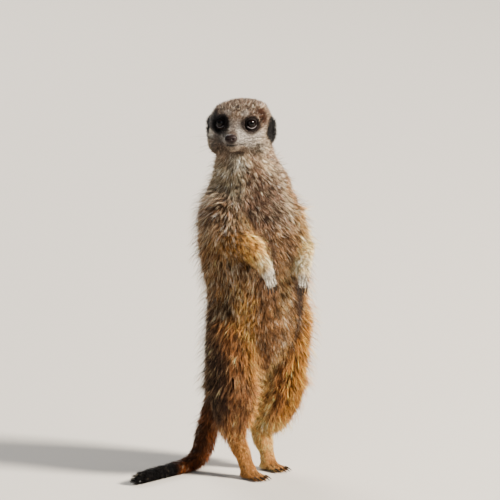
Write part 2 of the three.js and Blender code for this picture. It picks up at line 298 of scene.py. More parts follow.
# %% Regions as soft weights
REGIONS = {
    "head": ("head", "eye_left", "eye_right", "nose"),
    "ear": ("ear_left", "ear_right"),
    "neck": ("neck",),
    "trunk": ("trunk",),
    "upper_arm": ("upper_arm_left", "upper_arm_right"),
    "forearm": ("forearm_left", "forearm_right"),
    "forepaw": ("forepaw_left", "forepaw_right"),
    "thigh": ("thigh_left", "thigh_right"),
    "shank": ("shank_left", "shank_right"),
    "hindfoot": ("hindfoot_left", "hindfoot_right"),
    "tail_root": ("tail_root",),
    "tail_middle": ("tail_middle",),
    "tail_tip": ("tail_tip",),
}
REGION_OF = {node: i for i, members in enumerate(REGIONS.values()) for node in members}


def spread(values, edges, rounds, hold=0.5):
    """Averages values along the edges: each round mixes in the neighbours' mean."""
    values = np.array(values, dtype=float)
    flat = values.reshape(len(values), -1)
    a, b = edges[:, 0], edges[:, 1]
    count = np.bincount(a, minlength=len(flat)) + np.bincount(b, minlength=len(flat))
    for _ in range(rounds):
        for column in flat.T:
            total = np.bincount(a, column[b], len(flat)) + np.bincount(b, column[a], len(flat))
            column += (total / np.maximum(count, 1) - column) * hold
    return values


bare, bare_faces, bare_labels = joined(flesh)
solids_tree = BVHTree.FromPolygons(bare.tolist(), bare_faces)
coat_points = points_of(skin_mesh)
edges = edges_of(skin_mesh)
nearest = [solids_tree.find_nearest(p)[2] for p in coat_points.tolist()]
region = np.array([REGION_OF[flesh[bare_labels[i]]] for i in nearest])
weights = spread(np.eye(len(REGIONS))[region], edges, 30)
share = {name: weights[:, i] for i, name in enumerate(REGIONS)}
print({name: int((region == i).sum()) for i, name in enumerate(REGIONS)})

# %% [markdown]
# The coat's depth says how far the skin lies inside the solids: over six millimetres on the flanks,
# two on the head and one on the feet. The ways inward are the normals of a smoothed copy, so that
# they don't cross in the creases where limbs meet the trunk.

# %% The coat's depth
DEPTH = {  # millimetres
    "head": 1.9,
    "ear": 0.8,
    "neck": 3.8,
    "trunk": 6.5,
    "upper_arm": 5.0,
    "forearm": 3.0,
    "forepaw": 0.8,
    "thigh": 6.0,
    "shank": 4.0,
    "hindfoot": 1.0,
    "tail_root": 3.4,
    "tail_middle": 2.2,
    "tail_tip": 1.6,
}
CHEST_TURN = math.radians(10)
CHEST_FACES = np.array([-math.sin(CHEST_TURN), -math.cos(CHEST_TURN), 0])


def step(values, low, high):
    """0 below low, 1 above high, and a smooth rise between."""
    t = np.clip((values - low) / (high - low), 0, 1)
    return t * t * (3 - 2 * t)


def unit(vectors):
    return vectors / np.maximum(np.linalg.norm(vectors, axis=1, keepdims=True), 1e-12)


def set_points(mesh, points):
    mesh.vertices.foreach_set("co", points.ravel())
    mesh.update()


paws = share["forepaw"] + share["hindfoot"]
soft = spread(coat_points, edges, 12) * (1 - paws)[:, None] + coat_points * paws[:, None]
soft = spread(soft, edges, 3)
set_points(skin_mesh, soft)
outward = normals_of(skin_mesh)
depth = sum(DEPTH[name] * share[name] for name in REGIONS)
in_front = step(outward @ CHEST_FACES, 0.35, 0.85)
depth -= in_front * (share["trunk"] * 3.0 + share["neck"] * 1.8)  # the chest and belly are thinly haired
depth -= step(in_head(coat_points)[:, 0], 9, 26) * share["head"] * 1.5  # and so is the muzzle
depth = spread(depth, edges, 10)
print("depth asked for:", depth.min().round(2), "to", depth.max().round(2), "mm")

# %% [markdown]
# The skin is pushed in along those ways and smoothed a little. Grooves part the digits of each foot:
# they lie between the lines that run from its claws to its palm. Sculpting them by hand would need
# the same work four times, and a formula does it once.

# %% Sink the skin and part the digits
DIGIT_GROOVE = 1.3 * MM


def between_digits(points):
    """1 in the grooves between the digits of a foot, from the lines on which its claws lie."""
    groove = np.zeros(len(points))
    for foot in ("forepaw_left", "forepaw_right", "hindfoot_left", "hindfoot_right"):
        kind, side = foot[:4], foot.rsplit("_", 1)[1]
        claws = np.array([middle(f"claw_{kind}_{side}_{i}") for i in (1, 2, 3, 4)])
        palm = middle(foot) if kind == "fore" else claws.mean(axis=0) + np.array([0, 12, 3]) * MM
        along = palm - claws.mean(axis=0)
        along /= np.linalg.norm(along)
        offsets = points[:, None, :] - claws[None]
        reach = offsets @ along
        aside = np.linalg.norm(offsets - reach[..., None] * along, axis=2).min(axis=1) / MM
        close = 1 - step(np.abs(reach).min(axis=1) / MM, 9, 13)
        beyond = 1 - step(np.linalg.norm(offsets, axis=2).min(axis=1) / MM, 12, 15)
        across = np.abs(offsets[:, :, 0] - reach * along[0]).min(axis=1) / MM
        groove = np.maximum(groove, step(across, 0.65, 1.2) * close * beyond * (aside < 6))
    return groove


skin_points = soft - outward * (depth * MM + SWELL)[:, None]
skin_points = spread(skin_points, edges, 6)
skin_points -= outward * (between_digits(coat_points) * DIGIT_GROOVE)[:, None]
set_points(skin_mesh, skin_points)
room = ((coat_points - skin_points) * outward).sum(axis=1) / MM - SWELL / MM
depth = spread(np.clip(room, depth * 0.7, depth * 1.5 + 0.8 - paws), edges, 4)
print("depth made:", depth.min().round(2), "to", depth.max().round(2), "mm")

# %% [markdown]
# Smoothing thins the ankles, and the solids have no hollow in the crook of the right arm, where the
# coat parts. Soft pushes along the normals bring both back, as a sculptor's inflate brush would.

# %% Sculpt the ankles and the crook of the arm
INNER_REAR = np.array([-0.766, 0.643, 0])  # the way that the left leg's inner, rear side faces
ANKLE_SWELL, INNER_SWELL = 0.9, 1.6  # millimetres
ARM_CROOK = np.array([1.5, -36, 189.5])
CROOK_REACH, CROOK_DEPTH = 8, 3.2

up = skin_points[:, 2] / MM
ankle = (share["shank"] + share["hindfoot"]) * step(up, 12, 22) * (1 - step(up, 38, 50))
left_ankle = ankle * (skin_points[:, 0] > skin_points[:, 0].mean())
swell = ankle * ANKLE_SWELL + left_ankle * step(outward @ INNER_REAR, 0.0, 0.8) * INNER_SWELL
from_crook = np.linalg.norm(skin_points / MM - ARM_CROOK, axis=1) / CROOK_REACH
swell -= CROOK_DEPTH * np.exp(-(from_crook**2))
skin_points += outward * (swell * MM)[:, None]
set_points(skin_mesh, skin_points)
skin = new_object("skin", skin_mesh)
print("skin:", len(skin_mesh.polygons), "faces")

# %% [markdown]
# Under the deep coat the skin needs few faces, and round the eyes and mouth it needs many. A Decimate
# modifier with a vertex group thins the body only, and the faces near each feature are subdivided.

# %% Fewer faces on the body, more on the face
FACES_KEPT = 0.42
EYE_REACH = 8.5  # millimetres round each eye that are subdivided


def eye_at(side):
    return EYE_AT * (1, side, 1)


kept_fine = share["head"] + share["ear"] + share["forepaw"] + share["hindfoot"]
body_group = skin.vertex_groups.new(name="body")
for tenth in range(1, 11):  # ten steps of weight are enough
    close = np.round((1 - np.clip(kept_fine, 0, 1)) * 10) == tenth
    body_group.add(np.flatnonzero(close).tolist(), tenth / 10, "REPLACE")
thinner = skin.modifiers.new("fewer faces", "DECIMATE")
thinner.ratio = FACES_KEPT
thinner.vertex_group = body_group.name
thin_mesh = applied(skin)
skin.modifiers.clear()
skin.vertex_groups.clear()

shape = bmesh.new()
shape.from_mesh(thin_mesh)
bmesh.ops.triangulate(shape, faces=shape.faces)
points = in_head(np.array([v.co for v in shape.verts]))
near = (points[:, 0] > 23) & (np.abs(points[:, 1]) < 12) & (np.abs(points[:, 2] + 5) < 13)  # the muzzle
for side in (1, -1):
    lids = eye_at(side) + 4 * EYE_LOOK * (1, side, 1)
    near |= np.linalg.norm(points - lids, axis=1) < EYE_REACH
near_edges = [e for e in shape.edges if near[e.verts[0].index] and near[e.verts[1].index]]
bmesh.ops.subdivide_edges(shape, edges=near_edges, cuts=1, use_grid_fill=True)
bmesh.ops.triangulate(shape, faces=shape.faces)
shape.to_mesh(thin_mesh)
shape.free()
print("thinned and made fine again:", len(thin_mesh.polygons), "triangles")

# %% [markdown]
# The new mesh has lost the weights and the depth. Each of its vertices takes them from the vertex of
# the old skin that lies nearest. A tree of points finds it at once, where a plain search is slow.

# %% Carry the weights over
def tree_of(points):
    tree = KDTree(len(points))
    for i, point in enumerate(points.tolist()):
        tree.insert(point, i)
    tree.balance()
    return tree


def nearest_in(tree, points):
    return np.array([tree.find(point)[1] for point in points.tolist()])


old_skin = tree_of(skin_points)
skin_points = points_of(thin_mesh)
carried = nearest_in(old_skin, skin_points)
share = {name: values[carried] for name, values in share.items()}
depth = depth[carried]
skin.data = skin_mesh = thin_mesh
edges = edges_of(skin_mesh)
print("skin now:", len(skin_mesh.polygons), "triangles")

# %% [markdown]
# A face is made of small swells and hollows: brow, temples, whisker pads, crown and chin. Each is a
# soft push of the vertices along their normals, as a sculptor's brush would do it, but written down,
# so that it can be changed later. Two grooves make the mouth and the split of the upper lip.

# %% Sculpt the face
PAIRED_SWELLS = (  # place, reach and height in the head's millimetres, on the left and on the right
    ((17.5, 11.5, 11), (5, 5.5, 2.6), 0.9),  # brow
    ((2, 16.5, 9.5), (11, 5.5, 5.5), 1.3),  # temple
    ((35, 5.5, -4.3), (5, 3, 3), 0.8),  # whisker pad
    ((24, 8.5, 1.5), (4, 3, 4), -0.9),  # hollow before the eye
)
SINGLE_SWELLS = (
    ((-3, 14, 11), (16, 8, 8), 2.6),  # left side of the crown
    ((0, -12.5, 13.5), (10, 5, 4.5), 0.8),  # right side of the crown
    ((0, 0, 17), (12, 6, 4), -0.6),  # flat top
    ((-30, 0, -15), (8, 14, 9), 2.5),  # nape
    ((37, 0, -11.8), (5, 5, 2), 0.7),  # chin
)
MOUTH_DEPTH, MOUTH_HALF = 1.15, 0.75
SPLIT_DEPTH, SPLIT_HALF = 0.7, 0.6


def bulge(at, centre, reach, height):
    """A soft swell of the given height about a centre, with its own reach along X, Y and Z."""
    return height * np.exp(-(((at - centre) / reach) ** 2).sum(axis=1))


def mouth_height(forward):
    """The mouth line's height along the muzzle: level under the nose, then down to the corner."""
    return -7.5 - 0.0115 * (41 - forward) ** 2


face = in_head(skin_points)
face_normals = normals_of(skin_mesh) @ head_axes
is_head = share["head"] + share["ear"] * 0.5 > 0.4
face_swell = sum(bulge(face, *shape) for shape in SINGLE_SWELLS)
for centre, reach, height in PAIRED_SWELLS:
    face_swell += sum(bulge(face, np.array(centre) * (1, side, 1), reach, height) for side in (1, -1))
mouth_gap = (face[:, 2] - mouth_height(face[:, 0])) / MOUTH_HALF
face_swell -= MOUTH_DEPTH * np.exp(-(mouth_gap**2)) * step(face[:, 0], 22, 26)
split = np.exp(-((face[:, 1] / SPLIT_HALF) ** 2)) * step(face[:, 0], 38, 41)
face_swell -= SPLIT_DEPTH * split * step(face[:, 2], -8, -7) * (face[:, 2] < -3)
face += face_normals * (face_swell * is_head)[:, None]
print("sculpted", int(is_head.sum()), "vertices by up to", np.abs(face_swell).max().round(1), "mm")

# %% [markdown]
# An eyelid is thin skin that wraps the eyeball. It is made from the ball itself: round the almond
# opening the skin is taken to just above the ball, and inside the opening it dives behind it. That
# fits closely at any size of eye, which lids made as separate rings seldom do.

# %% Sculpt the eyelids
OPENING = np.array([3.9, 3.2])  # half width and height between the lids
LID = 0.5  # the lids stand this far off the eyeball
BEHIND = 1.0  # inside the opening the skin lies this far inside it


def look_of(side):
    look = EYE_LOOK * (1, side, 1)
    return look / np.linalg.norm(look)


def before_eye(at, side):
    """Where points lie as the eye sees them: across, up and out, and their share of the opening."""
    look = look_of(side)
    across = np.cross((0, 0, 1), look)
    across /= np.linalg.norm(across)
    offset = at - eye_at(side)
    a, b, out = offset @ across, offset @ np.cross(look, across), offset @ look
    tilt = a * -side * 0.12  # the outer corner sits a little lower
    return a, b, out, np.hypot(a / OPENING[0], (b - tilt) / OPENING[1])


def sculpt_lids(at, side):
    """The moves that wrap a lid over the ball and take the skin behind it in the opening."""
    a, b, out, opening = before_eye(at, side)
    away = np.hypot(a, b)
    lid = np.sqrt(np.maximum((EYE_RADIUS + LID) ** 2 - away**2, 0.5))
    behind = np.sqrt(np.maximum((EYE_RADIUS - BEHIND) ** 2 - away**2, 0.5))
    target = np.where(opening < 1, behind, lid)
    hold = (1 - step(away, 4.4, 7.6)) * (out > -2)
    return look_of(side) * ((target - out) * hold)[:, None]


for side in (1, -1):
    face += sculpt_lids(face, side) * is_head[:, None]
skin_points = np.where(is_head[:, None], from_head(face), skin_points)
set_points(skin_mesh, skin_points)
skin_mesh.shade_smooth()
print("lids open", 2 * OPENING[0], "by", 2 * OPENING[1], "mm")

# %% [markdown]
# A coat lies away from the nose: back over the skull, down the body, and out along the limbs and the
# tail. The shortest way over the skin from the nose gives that for free. It is measured on a coarse
# copy, and the direction in which the distance grows fastest is the lie of the coat.

# %% The lie of the coat
LIE_VOXEL = 2.6 * MM
LIE_REACH = 6.5 * MM


def distances_over(points, normals, start):
    """The shortest way over the surface from the start to every point, and each point's neighbours."""
    tree = tree_of(points)
    around = []
    for i, p in enumerate(points.tolist()):
        found = [(j, gap) for _, j, gap in tree.find_range(p, LIE_REACH) if j != i]
        around.append([(j, gap) for j, gap in found if normals[i] @ normals[j] > 0.1])
    ways = np.full(len(points), np.inf)
    first = tree.find(start)[1]
    ways[first] = 0
    queue = [(0.0, first)]
    while queue:
        way, i = heapq.heappop(queue)
        if way > ways[i]:
            continue
        for j, gap in around[i]:
            if way + gap < ways[j]:
                ways[j] = way + gap
                heapq.heappush(queue, (way + gap, j))
    return tree, around, ways


lie_mesh = keep_largest(remeshed(swelled, swelled_faces, LIE_VOXEL))
lie_points, lie_normals = points_of(lie_mesh), normals_of(lie_mesh)
nose_tip = from_head(NOSE_AT + (3, 0, 0))
lie_tree, around, ways = distances_over(lie_points, lie_normals, nose_tip)
lie = np.zeros_like(lie_points)
for i, found in enumerate(around):
    j = [k for k, _ in found if np.isfinite(ways[k])]
    span = lie_points[j] - lie_points[i]
    lie[i] = ((ways[j] - ways[i]) / (span**2).sum(axis=1)) @ span
lie_edges = edges_of(lie_mesh)
lie = unit(spread(unit(lie), lie_edges, 6))
normals = normals_of(skin_mesh)


def on_surface(vectors, normals):
    return unit(vectors - normals * (vectors * normals).sum(axis=1, keepdims=True))


lies = lie[nearest_in(lie_tree, skin_points)]
arm_hold = share["forearm"] * 1.2 + share["forepaw"] * 2  # how firmly hairs follow the arm's own line
for side, sign in (("left", 1), ("right", -1)):
    here = (skin_points[:, 0] - middle("trunk")[0]) * sign > 0
    down_arm = middle(f"forepaw_{side}") - middle(f"forearm_{side}")
    lies += unit(down_arm[None]) * (arm_hold * here)[:, None]
lies = on_surface(spread(lies, edges, 8), normals)
farthest = ways[np.isfinite(ways)].max()
print("lie of the coat from", len(lie_points), "points; farthest", round(farthest, 3), "m")

# %% [markdown]
# Stripes and patches on the body are placed by height and by the angle round the body or the leg. For
# that the middle of each is found at every height, from the skin itself.

# %% The way round the body and the legs
SLICE = 6 * MM


def centre_line(points):
    """The middle of a part as a function of height, from the middles of its slices."""
    level = np.round(points[:, 2] / SLICE)
    levels = np.unique(level)
    slices = [points[level == each] for each in levels]
    middles = np.array([(part.min(axis=0) + part.max(axis=0)) / 2 for part in slices])
    middles[1:-1] = (middles[:-2] + middles[1:-1] + middles[2:]) / 3

    def middle_at(heights):
        return [np.interp(heights, levels * SLICE, middles[:, axis]) for axis in (0, 1)]

    return middle_at


def angle_round(points, line):
    """Degrees round a part: 0 faces the front, 90 the animal's left, -90 its right."""
    x, y = line(points[:, 2])
    return np.degrees(np.arctan2(points[:, 0] - x, y - points[:, 1]))


middle_x = (middle("hindfoot_left")[0] + middle("hindfoot_right")[0]) / 2
leg_share = share["thigh"] + share["shank"]
body_line = centre_line(skin_points[share["trunk"] + share["neck"] > 0.6])
leg_lines = [
    centre_line(skin_points[(leg_share > 0.6) & ((skin_points[:, 0] > middle_x) == is_left)])
    for is_left in (True, False)
]
print("body's middle at 0.2 m:", np.round(body_line(0.2), 4))

# %% [markdown]
# A meerkat's coat runs from grey on the head to gold on the legs, with dark bands over the back. Each
# part of the body has a base colour and a ticking: the share of its hairs whose tips are dark or
# light. An image could hold all this, but only at one fineness; colours on the vertices need none.

# %% Colours and ticking
def rgb(red, green, blue):
    """A colour as a painter reads it, 0 to 255, in the linear values that the shader wants."""
    value = np.array([red, green, blue]) / 255
    return np.where(value <= 0.04045, value / 12.92, ((value + 0.055) / 1.055) ** 2.4)


GRIZZLE = rgb(130, 109, 93)
# brown spots of the head, also used as painted shade on the jaw and under the nose
BROWN_HAIR_AND_SHADE = rgb(84, 62, 50)
# the chin's tan with painted shade
CHIN_TAN_AND_SHADE = rgb(126, 109, 91)
WHITISH = rgb(166, 159, 151)
CREAM = rgb(226, 203, 172)
CHEEK = rgb(158, 139, 116)
RUST = rgb(66, 40, 25)
SOOT = rgb(17, 12, 11)
# painted highlight on the lower lids
LID_HIGHLIGHT = rgb(168, 160, 160)
# the eye patches, also used as painted shade on the right of the muzzle
EYE_PATCH_AND_SHADE = rgb(34, 21, 16)
DARK_BACK = rgb(84, 66, 52)
FLANK = rgb(180, 136, 96)
SHOULDER = rgb(188, 156, 132)
CHEST = rgb(106, 83, 69)
BELLY = rgb(122, 95, 77)
BELLY_LOW = rgb(154, 112, 74)
GOLD = rgb(206, 150, 84)
PALE_GOLD = rgb(236, 194, 138)
FORELIMB = rgb(214, 164, 104)
# white of the paws, also used as painted light on the neck and the right cheek
WHITE_HAIR_AND_LIGHT = rgb(232, 220, 202)
RUFOUS = rgb(176, 124, 84)
# dark hair of the haunches and flanks, also used as painted shade on the trunk and legs
DARK_HAIR_AND_SHADE = rgb(66, 51, 44)
ORANGE = rgb(158, 108, 66)
LOWER_LEG = rgb(200, 146, 96)
# painted light for the left ankle
ANKLE_PAINTED_LIGHT = rgb(250, 194, 132)
FOOT = rgb(188, 138, 88)
TAIL_TOP = rgb(98, 62, 40)
# painted light on the tail's side that faces the key light
TAIL_PAINTED_LIGHT = rgb(146, 86, 46)
SOLE = rgb(48, 34, 28)
ELBOW = rgb(140, 98, 56)
WRIST = rgb(242, 218, 180)
BASE = {
    "head": GRIZZLE,
    "ear": SOOT,
    "neck": SHOULDER,
    "trunk": FLANK,
    "upper_arm": FLANK,
    "forearm": FORELIMB,
    "forepaw": WHITE_HAIR_AND_LIGHT,
    "thigh": RUFOUS,
    "shank": RUFOUS,
    "hindfoot": FOOT,
    "tail_root": TAIL_TOP,
    "tail_middle": TAIL_TOP,
    "tail_tip": SOOT,
}
TICKING = {
    "head": 0.55,
    "neck": 0.8,
    "trunk": 0.9,
    "upper_arm": 0.9,
    "forearm": 0.25,
    "forepaw": 0.05,
    "thigh": 0.85,
    "shank": 0.7,
    "hindfoot": 0.15,
    "tail_root": 0.1,
    "tail_middle": 0.06,
    "tail_tip": 0.05,
    "ear": 0.05,
}
print("base colours:", len(BASE))

# %% [markdown]
# One painter serves skin and coat alike, so both always agree. It lays soft layers over the base
# colour, as an airbrush would: stripes by the angle round a part and by height, and oval spots.

# %% The painter
SIDE_BLEND = 3 * MM  # how softly the animal's left and right meet


class Painter:
    """Colour and ticking at points of the animal, painted in layers from the base upward."""

    def __init__(self, points, normals, share):
        self.points = points
        self.normals = normals
        self.share = share
        self.height = points[:, 2] / MM
        self.left = step(points[:, 0], middle_x - SIDE_BLEND, middle_x + SIDE_BLEND)
        self.angle = angle_round(points, body_line)
        self.back = step(np.abs(self.angle), 100, 145)
        self.colour = sum(BASE[name] * share[name][:, None] for name in REGIONS)
        self.tick = sum(value * share[name] for name, value in TICKING.items())

    def paint(self, new, amount, ticking=None):
        self.colour += (new - self.colour) * amount[:, None]
        if ticking is not None:
            self.tick += (ticking - self.tick) * amount

    def level(self, low, high, soft=8):
        """1 between two heights."""
        return step(self.height, low - soft, low + soft) * (1 - step(self.height, high - soft, high + soft))


def between(angle, middle_of_stripe, half, soft=12):
    """1 inside a stripe of angles, with soft sides."""
    return 1 - step(np.abs(angle - middle_of_stripe), half, half + soft)


def patch(at, centre, reach, edge=1.6):
    """1 inside an oval patch, falling to 0 at `edge` times its reach."""
    away = np.sqrt((((at - centre) / reach) ** 2).sum(axis=1))
    return 1 - step(away, 0.75, edge)


sample_angles = np.array([0, 12, 18, 24])
print("strength of a stripe at", sample_angles, "degrees:", between(sample_angles, 0, 12))

# %% [markdown]
# Shoulders and neck are pale and grizzled, dark bands cross the back, and a plain brown stripe runs down the
# chest and belly, where the coat is thin. Gold and cream lie beside it. Painted shade darkens the gap beside
# the left arm, a band under the right forearm and the low right flank, and painted light brightens the right
# side of the neck.

# %% Markings of the trunk and neck
BAND = 14  # millimetres from one dark band of the back to the next
BANDED = (90, 182)  # heights between which the back has bands


def paint_body(coat):
    paint, level, height, at, back = coat.paint, coat.level, coat.height, coat.angle, coat.back
    trunk, neck, upper_arm = (coat.share[name] for name in ("trunk", "neck", "upper_arm"))
    body = trunk + neck
    paint(SHOULDER, (body + upper_arm * (1 - coat.left)) * step(height, 186, 208) * (1 - back), 1.1)
    paint(DARK_BACK, back * trunk * 0.8, 0.9)
    bands = 0.5 + 0.5 * np.sin(height / BAND * 2 * math.pi)
    paint(SOOT, bands**3 * back * trunk * level(*BANDED, 12) * 0.5)
    paint(GOLD, trunk * (between(at, -62, 22, 25) + between(at, 50, 20, 20)) * level(92, 150, 16) * 0.6, 0.6)
    middle_line = -22 - 14 * step(height, 200, 232)
    belly = between(at, middle_line, 12 + 8 * step(height, 190, 215)) * (1 - step(height, 244, 254))
    paint(BELLY, belly * body * 0.85, 0.6)
    paint(BELLY_LOW, belly * trunk * (1 - step(height, 130, 165)) * 0.7, 0.5)
    paint(PALE_GOLD, trunk * between(at, -1, 6, 8) * level(128, 168) * 0.25, 0.7)
    paint(PALE_GOLD, trunk * between(at, 20, 10, 10) * level(72, 96) * 0.6, 0.3)
    # painted shade: the gap beside the left arm, where the flank hair curves in, is darkened
    shade_beside_arm = between(at, 18 + 0.33 * (180 - height), 7, 8) * level(100, 192)
    shade_beside_arm *= (trunk + coat.share["thigh"] * coat.left * 0.7) * (0.95 - 0.3 * step(height, 160, 182))
    paint(DARK_HAIR_AND_SHADE, shade_beside_arm, 0.35)
    # painted shadow: a band of the trunk under the right forearm is darkened
    paint(DARK_HAIR_AND_SHADE, trunk * between(at, -56, 14, 12) * level(164, 176, 5) * 0.5, 0.9)
    paint(CREAM, body * between(at, 34 - 30 * step(height, 222, 250), 5, 8) * level(200, 244) * 0.65, 0.7)
    paint(CHEST, body * between(at, -9, 27, 9) * level(203, 238, 5) * 0.8, 0.7)
    paint(CREAM, neck * between(at, -54, 14, 16) * step(height, 243, 249) * 0.9, 0.4)
    paint(CREAM, neck * between(at, 2, 6, 8) * step(height, 240, 247) * 0.7, 0.5)
    paint(CREAM, body * between(at, -88, 28, 18) * level(220, 248) * 0.9, 1.0)
    paint(DARK_BACK, neck * between(at, -108, 24, 14) * step(height, 243, 250) * 0.1, 0.9)
    paint(DARK_BACK, (body + upper_arm) * between(at, -72, 12, 12) * level(206, 228) * 0.45, 1.1)
    # painted light: the right side of the neck, turned from the key light, is brightened with near-white
    # over its cream
    paint(WHITE_HAIR_AND_LIGHT, neck * between(at, -62, 12, 14) * step(height, 238, 246) * 0.6, 0.7)
    # the low right flank, turned from the key light, is darker: partly its own darker hair, partly painted
    # shade
    low_flank_dark_and_shade = trunk * between(at, -96, 20, 18) * (1 - step(height, 122, 178))
    paint(DARK_HAIR_AND_SHADE, low_flank_dark_and_shade * 0.8, 0.9)
    paint(FLANK, (body + upper_arm) * between(at, 56, 15, 10) * level(204, 236) * 0.9, 0.9)


print("dark bands on the back:", round((BANDED[1] - BANDED[0]) / BAND))

# %% [markdown]
# The arms are gold and grow paler down to whitish paws. The right elbow hangs in front of the flank
# and is browner. The pale fade of each wrist is measured from its paw.

# %% Markings of the arms
WRISTS = {  # how far up the arm the pale wrist fades out in millimetres, and how pale it is
    "left": (28, 0.95),
    "right": (14, 0.55),
}


def paint_arms(coat):
    paint, height, at, left = coat.paint, coat.height, coat.angle, coat.left
    upper_arm, forearm = coat.share["upper_arm"], coat.share["forearm"]
    pale = (1 - step(height, 208, 222)) * (1 - 0.6 * step(height, 178, 200))
    paint(PALE_GOLD, (upper_arm + forearm) * left * (1 - coat.back) * pale, 0.4)
    front_edge = between(at, -46 + 1.1 * (202 - height), 5, 8) * coat.level(184, 210)
    paint(PALE_GOLD, (upper_arm + coat.share["trunk"]) * (1 - left) * front_edge * 0.5, 0.2)
    paint(ELBOW, (forearm + upper_arm * 0.6) * (1 - left) * (1 - step(at, -56, -36)) * 0.9, 0.9)
    for side, here in (("left", left), ("right", 1 - left)):
        fade, amount = WRISTS[side]
        wrist = middle(f"forepaw_{side}") + np.array([0, 0, 8 * MM])
        near_wrist = 1 - step(np.linalg.norm(coat.points - wrist, axis=1) / MM, 3, fade)
        paint(WRIST, forearm * here * near_wrist * amount, 0.1)


print("pale wrists:", WRISTS)

# %% [markdown]
# The right haunch is dark outside, on the side turned from the key light, and orange and gold in front,
# where it faces that light; the left leg, whose outer side faces the key light, is gold nearly all over.
# These are partly the coat's own colours and partly painted shade and painted light. The left ankle is
# painted paler as painted light. Both legs grow paler below the knee.

# %% Markings of the legs
def paint_legs(coat):
    paint, level, height, left = coat.paint, coat.level, coat.height, coat.left
    round_left, round_right = (angle_round(coat.points, line) for line in leg_lines)
    leg = coat.share["thigh"] + coat.share["shank"]
    right_leg, left_leg = leg * (1 - left), leg * left
    # on the right leg the outside and rear, turned from the key light, are darkened, and the front, which
    # faces it, is orange and gold with a pale gold band: partly the coat's own colours, partly painted shade
    # and painted light
    paint(ORANGE, right_leg * between(round_right, -8, 22, 20) * level(84, 128) * 0.65, 0.6)
    paint(GOLD, right_leg * between(round_right, 12, 12, 12) * level(74, 130) * 0.5, 0.4)
    paint(DARK_HAIR_AND_SHADE, right_leg * (1 - step(round_right, -58, -18)) * level(50, 108, 10) * 0.95, 0.6)
    paint(DARK_HAIR_AND_SHADE, right_leg * (1 - step(round_right, -100, -60)) * 0.85, 0.9)
    paint(GOLD, right_leg * step(round_right, 6, 26) * (1 - step(round_right, 70, 110)) * 0.8, 0.3)
    paint(PALE_GOLD, right_leg * between(round_right, 95, 30, 25) * 0.4, 0.2)
    paint(PALE_GOLD, right_leg * between(round_right, 32, 10, 10) * level(74, 132) * 0.5, 0.3)
    # the left leg, whose outer side faces the key light, is orange and gold nearly all over: partly its own
    # colour, partly painted light
    paint(ORANGE, left_leg * 0.8, 0.5)
    paint(PALE_GOLD, left_leg * between(round_left, -85, 22, 20) * 0.6, 0.3)
    paint(GOLD, left_leg * between(round_left, 20, 32, 20) * 0.7, 0.4)
    paint(GOLD, left_leg * step(round_left, -6, 12) * level(90, 136, 10) * 0.4, 0.6)
    paint(DARK_HAIR_AND_SHADE, left_leg * between(round_left, -16, 6, 12) * level(70, 92) * 0.25, 0.5)
    paint(LOWER_LEG, leg * (1 - step(height, 28, 46)) * 0.9, 0.3)
    foot_and_leg = leg + coat.share["hindfoot"]
    # painted light: the left ankle and the inner rear of the left lower leg, which lie in shade, are painted
    # paler, as if lit
    paint(ANKLE_PAINTED_LIGHT, foot_and_leg * left * step(height, 6, 14) * (1 - step(height, 32, 46)) * 0.8, 0.1)
    inner_side_painted_light = step(coat.normals @ INNER_REAR, 0.0, 0.7) * left
    paint(PALE_GOLD, foot_and_leg * inner_side_painted_light * (1 - step(height, 30, 56)) * 0.8, 0.2)
    # the rear of both legs is darkened: partly darker hair, partly painted shade
    rear = np.abs(np.where(left > 0.5, round_left, round_right))
    paint(DARK_HAIR_AND_SHADE, leg * step(rear, 120, 160) * 0.6, 0.9)


print("middles of the legs, 60 mm up:", [np.round(line(60 * MM), 3).tolist() for line in leg_lines])

# %% [markdown]
# Soles and the gaps between digits are dark skin with little or no hair. The tail is dark brown, and its
# side that faces the key light is painted redder and lighter, as painted light.

# %% Markings of the soles and tail
def paint_soles_and_tail(coat):
    feet = coat.share["hindfoot"] + coat.share["forepaw"]
    coat.paint(SOLE, step(-coat.normals[:, 2], 0.5, 0.9) * feet * 0.8, 0)
    coat.paint(SOLE, between_digits(coat.points) * feet * 0.95, 0)
    tail = coat.share["tail_root"] + coat.share["tail_middle"]
    # painted light: the side of the tail that faces the key light is redder and lighter
    below = step(coat.normals[:, 0] * 0.6 - coat.normals[:, 1], 0.3, 1.0)
    coat.paint(TAIL_PAINTED_LIGHT, below * tail * 0.6, 0.2)


print("tail:", TAIL_TOP.round(3), "and redder in front:", TAIL_PAINTED_LIGHT.round(3))

# %% [markdown]
# The head is a speckled grey, whitish on the muzzle and brows. Black patches round the eyes, which take the
# glare out of the sun, and black ears stand out from it. Every spot is an oval in the head's own
# millimetres, and those that come in pairs are painted by one loop. The right eye's patch is widened by
# painted shade, and the further spots on the right of the face are painted shade and painted light, as that
# side is turned from the key light.

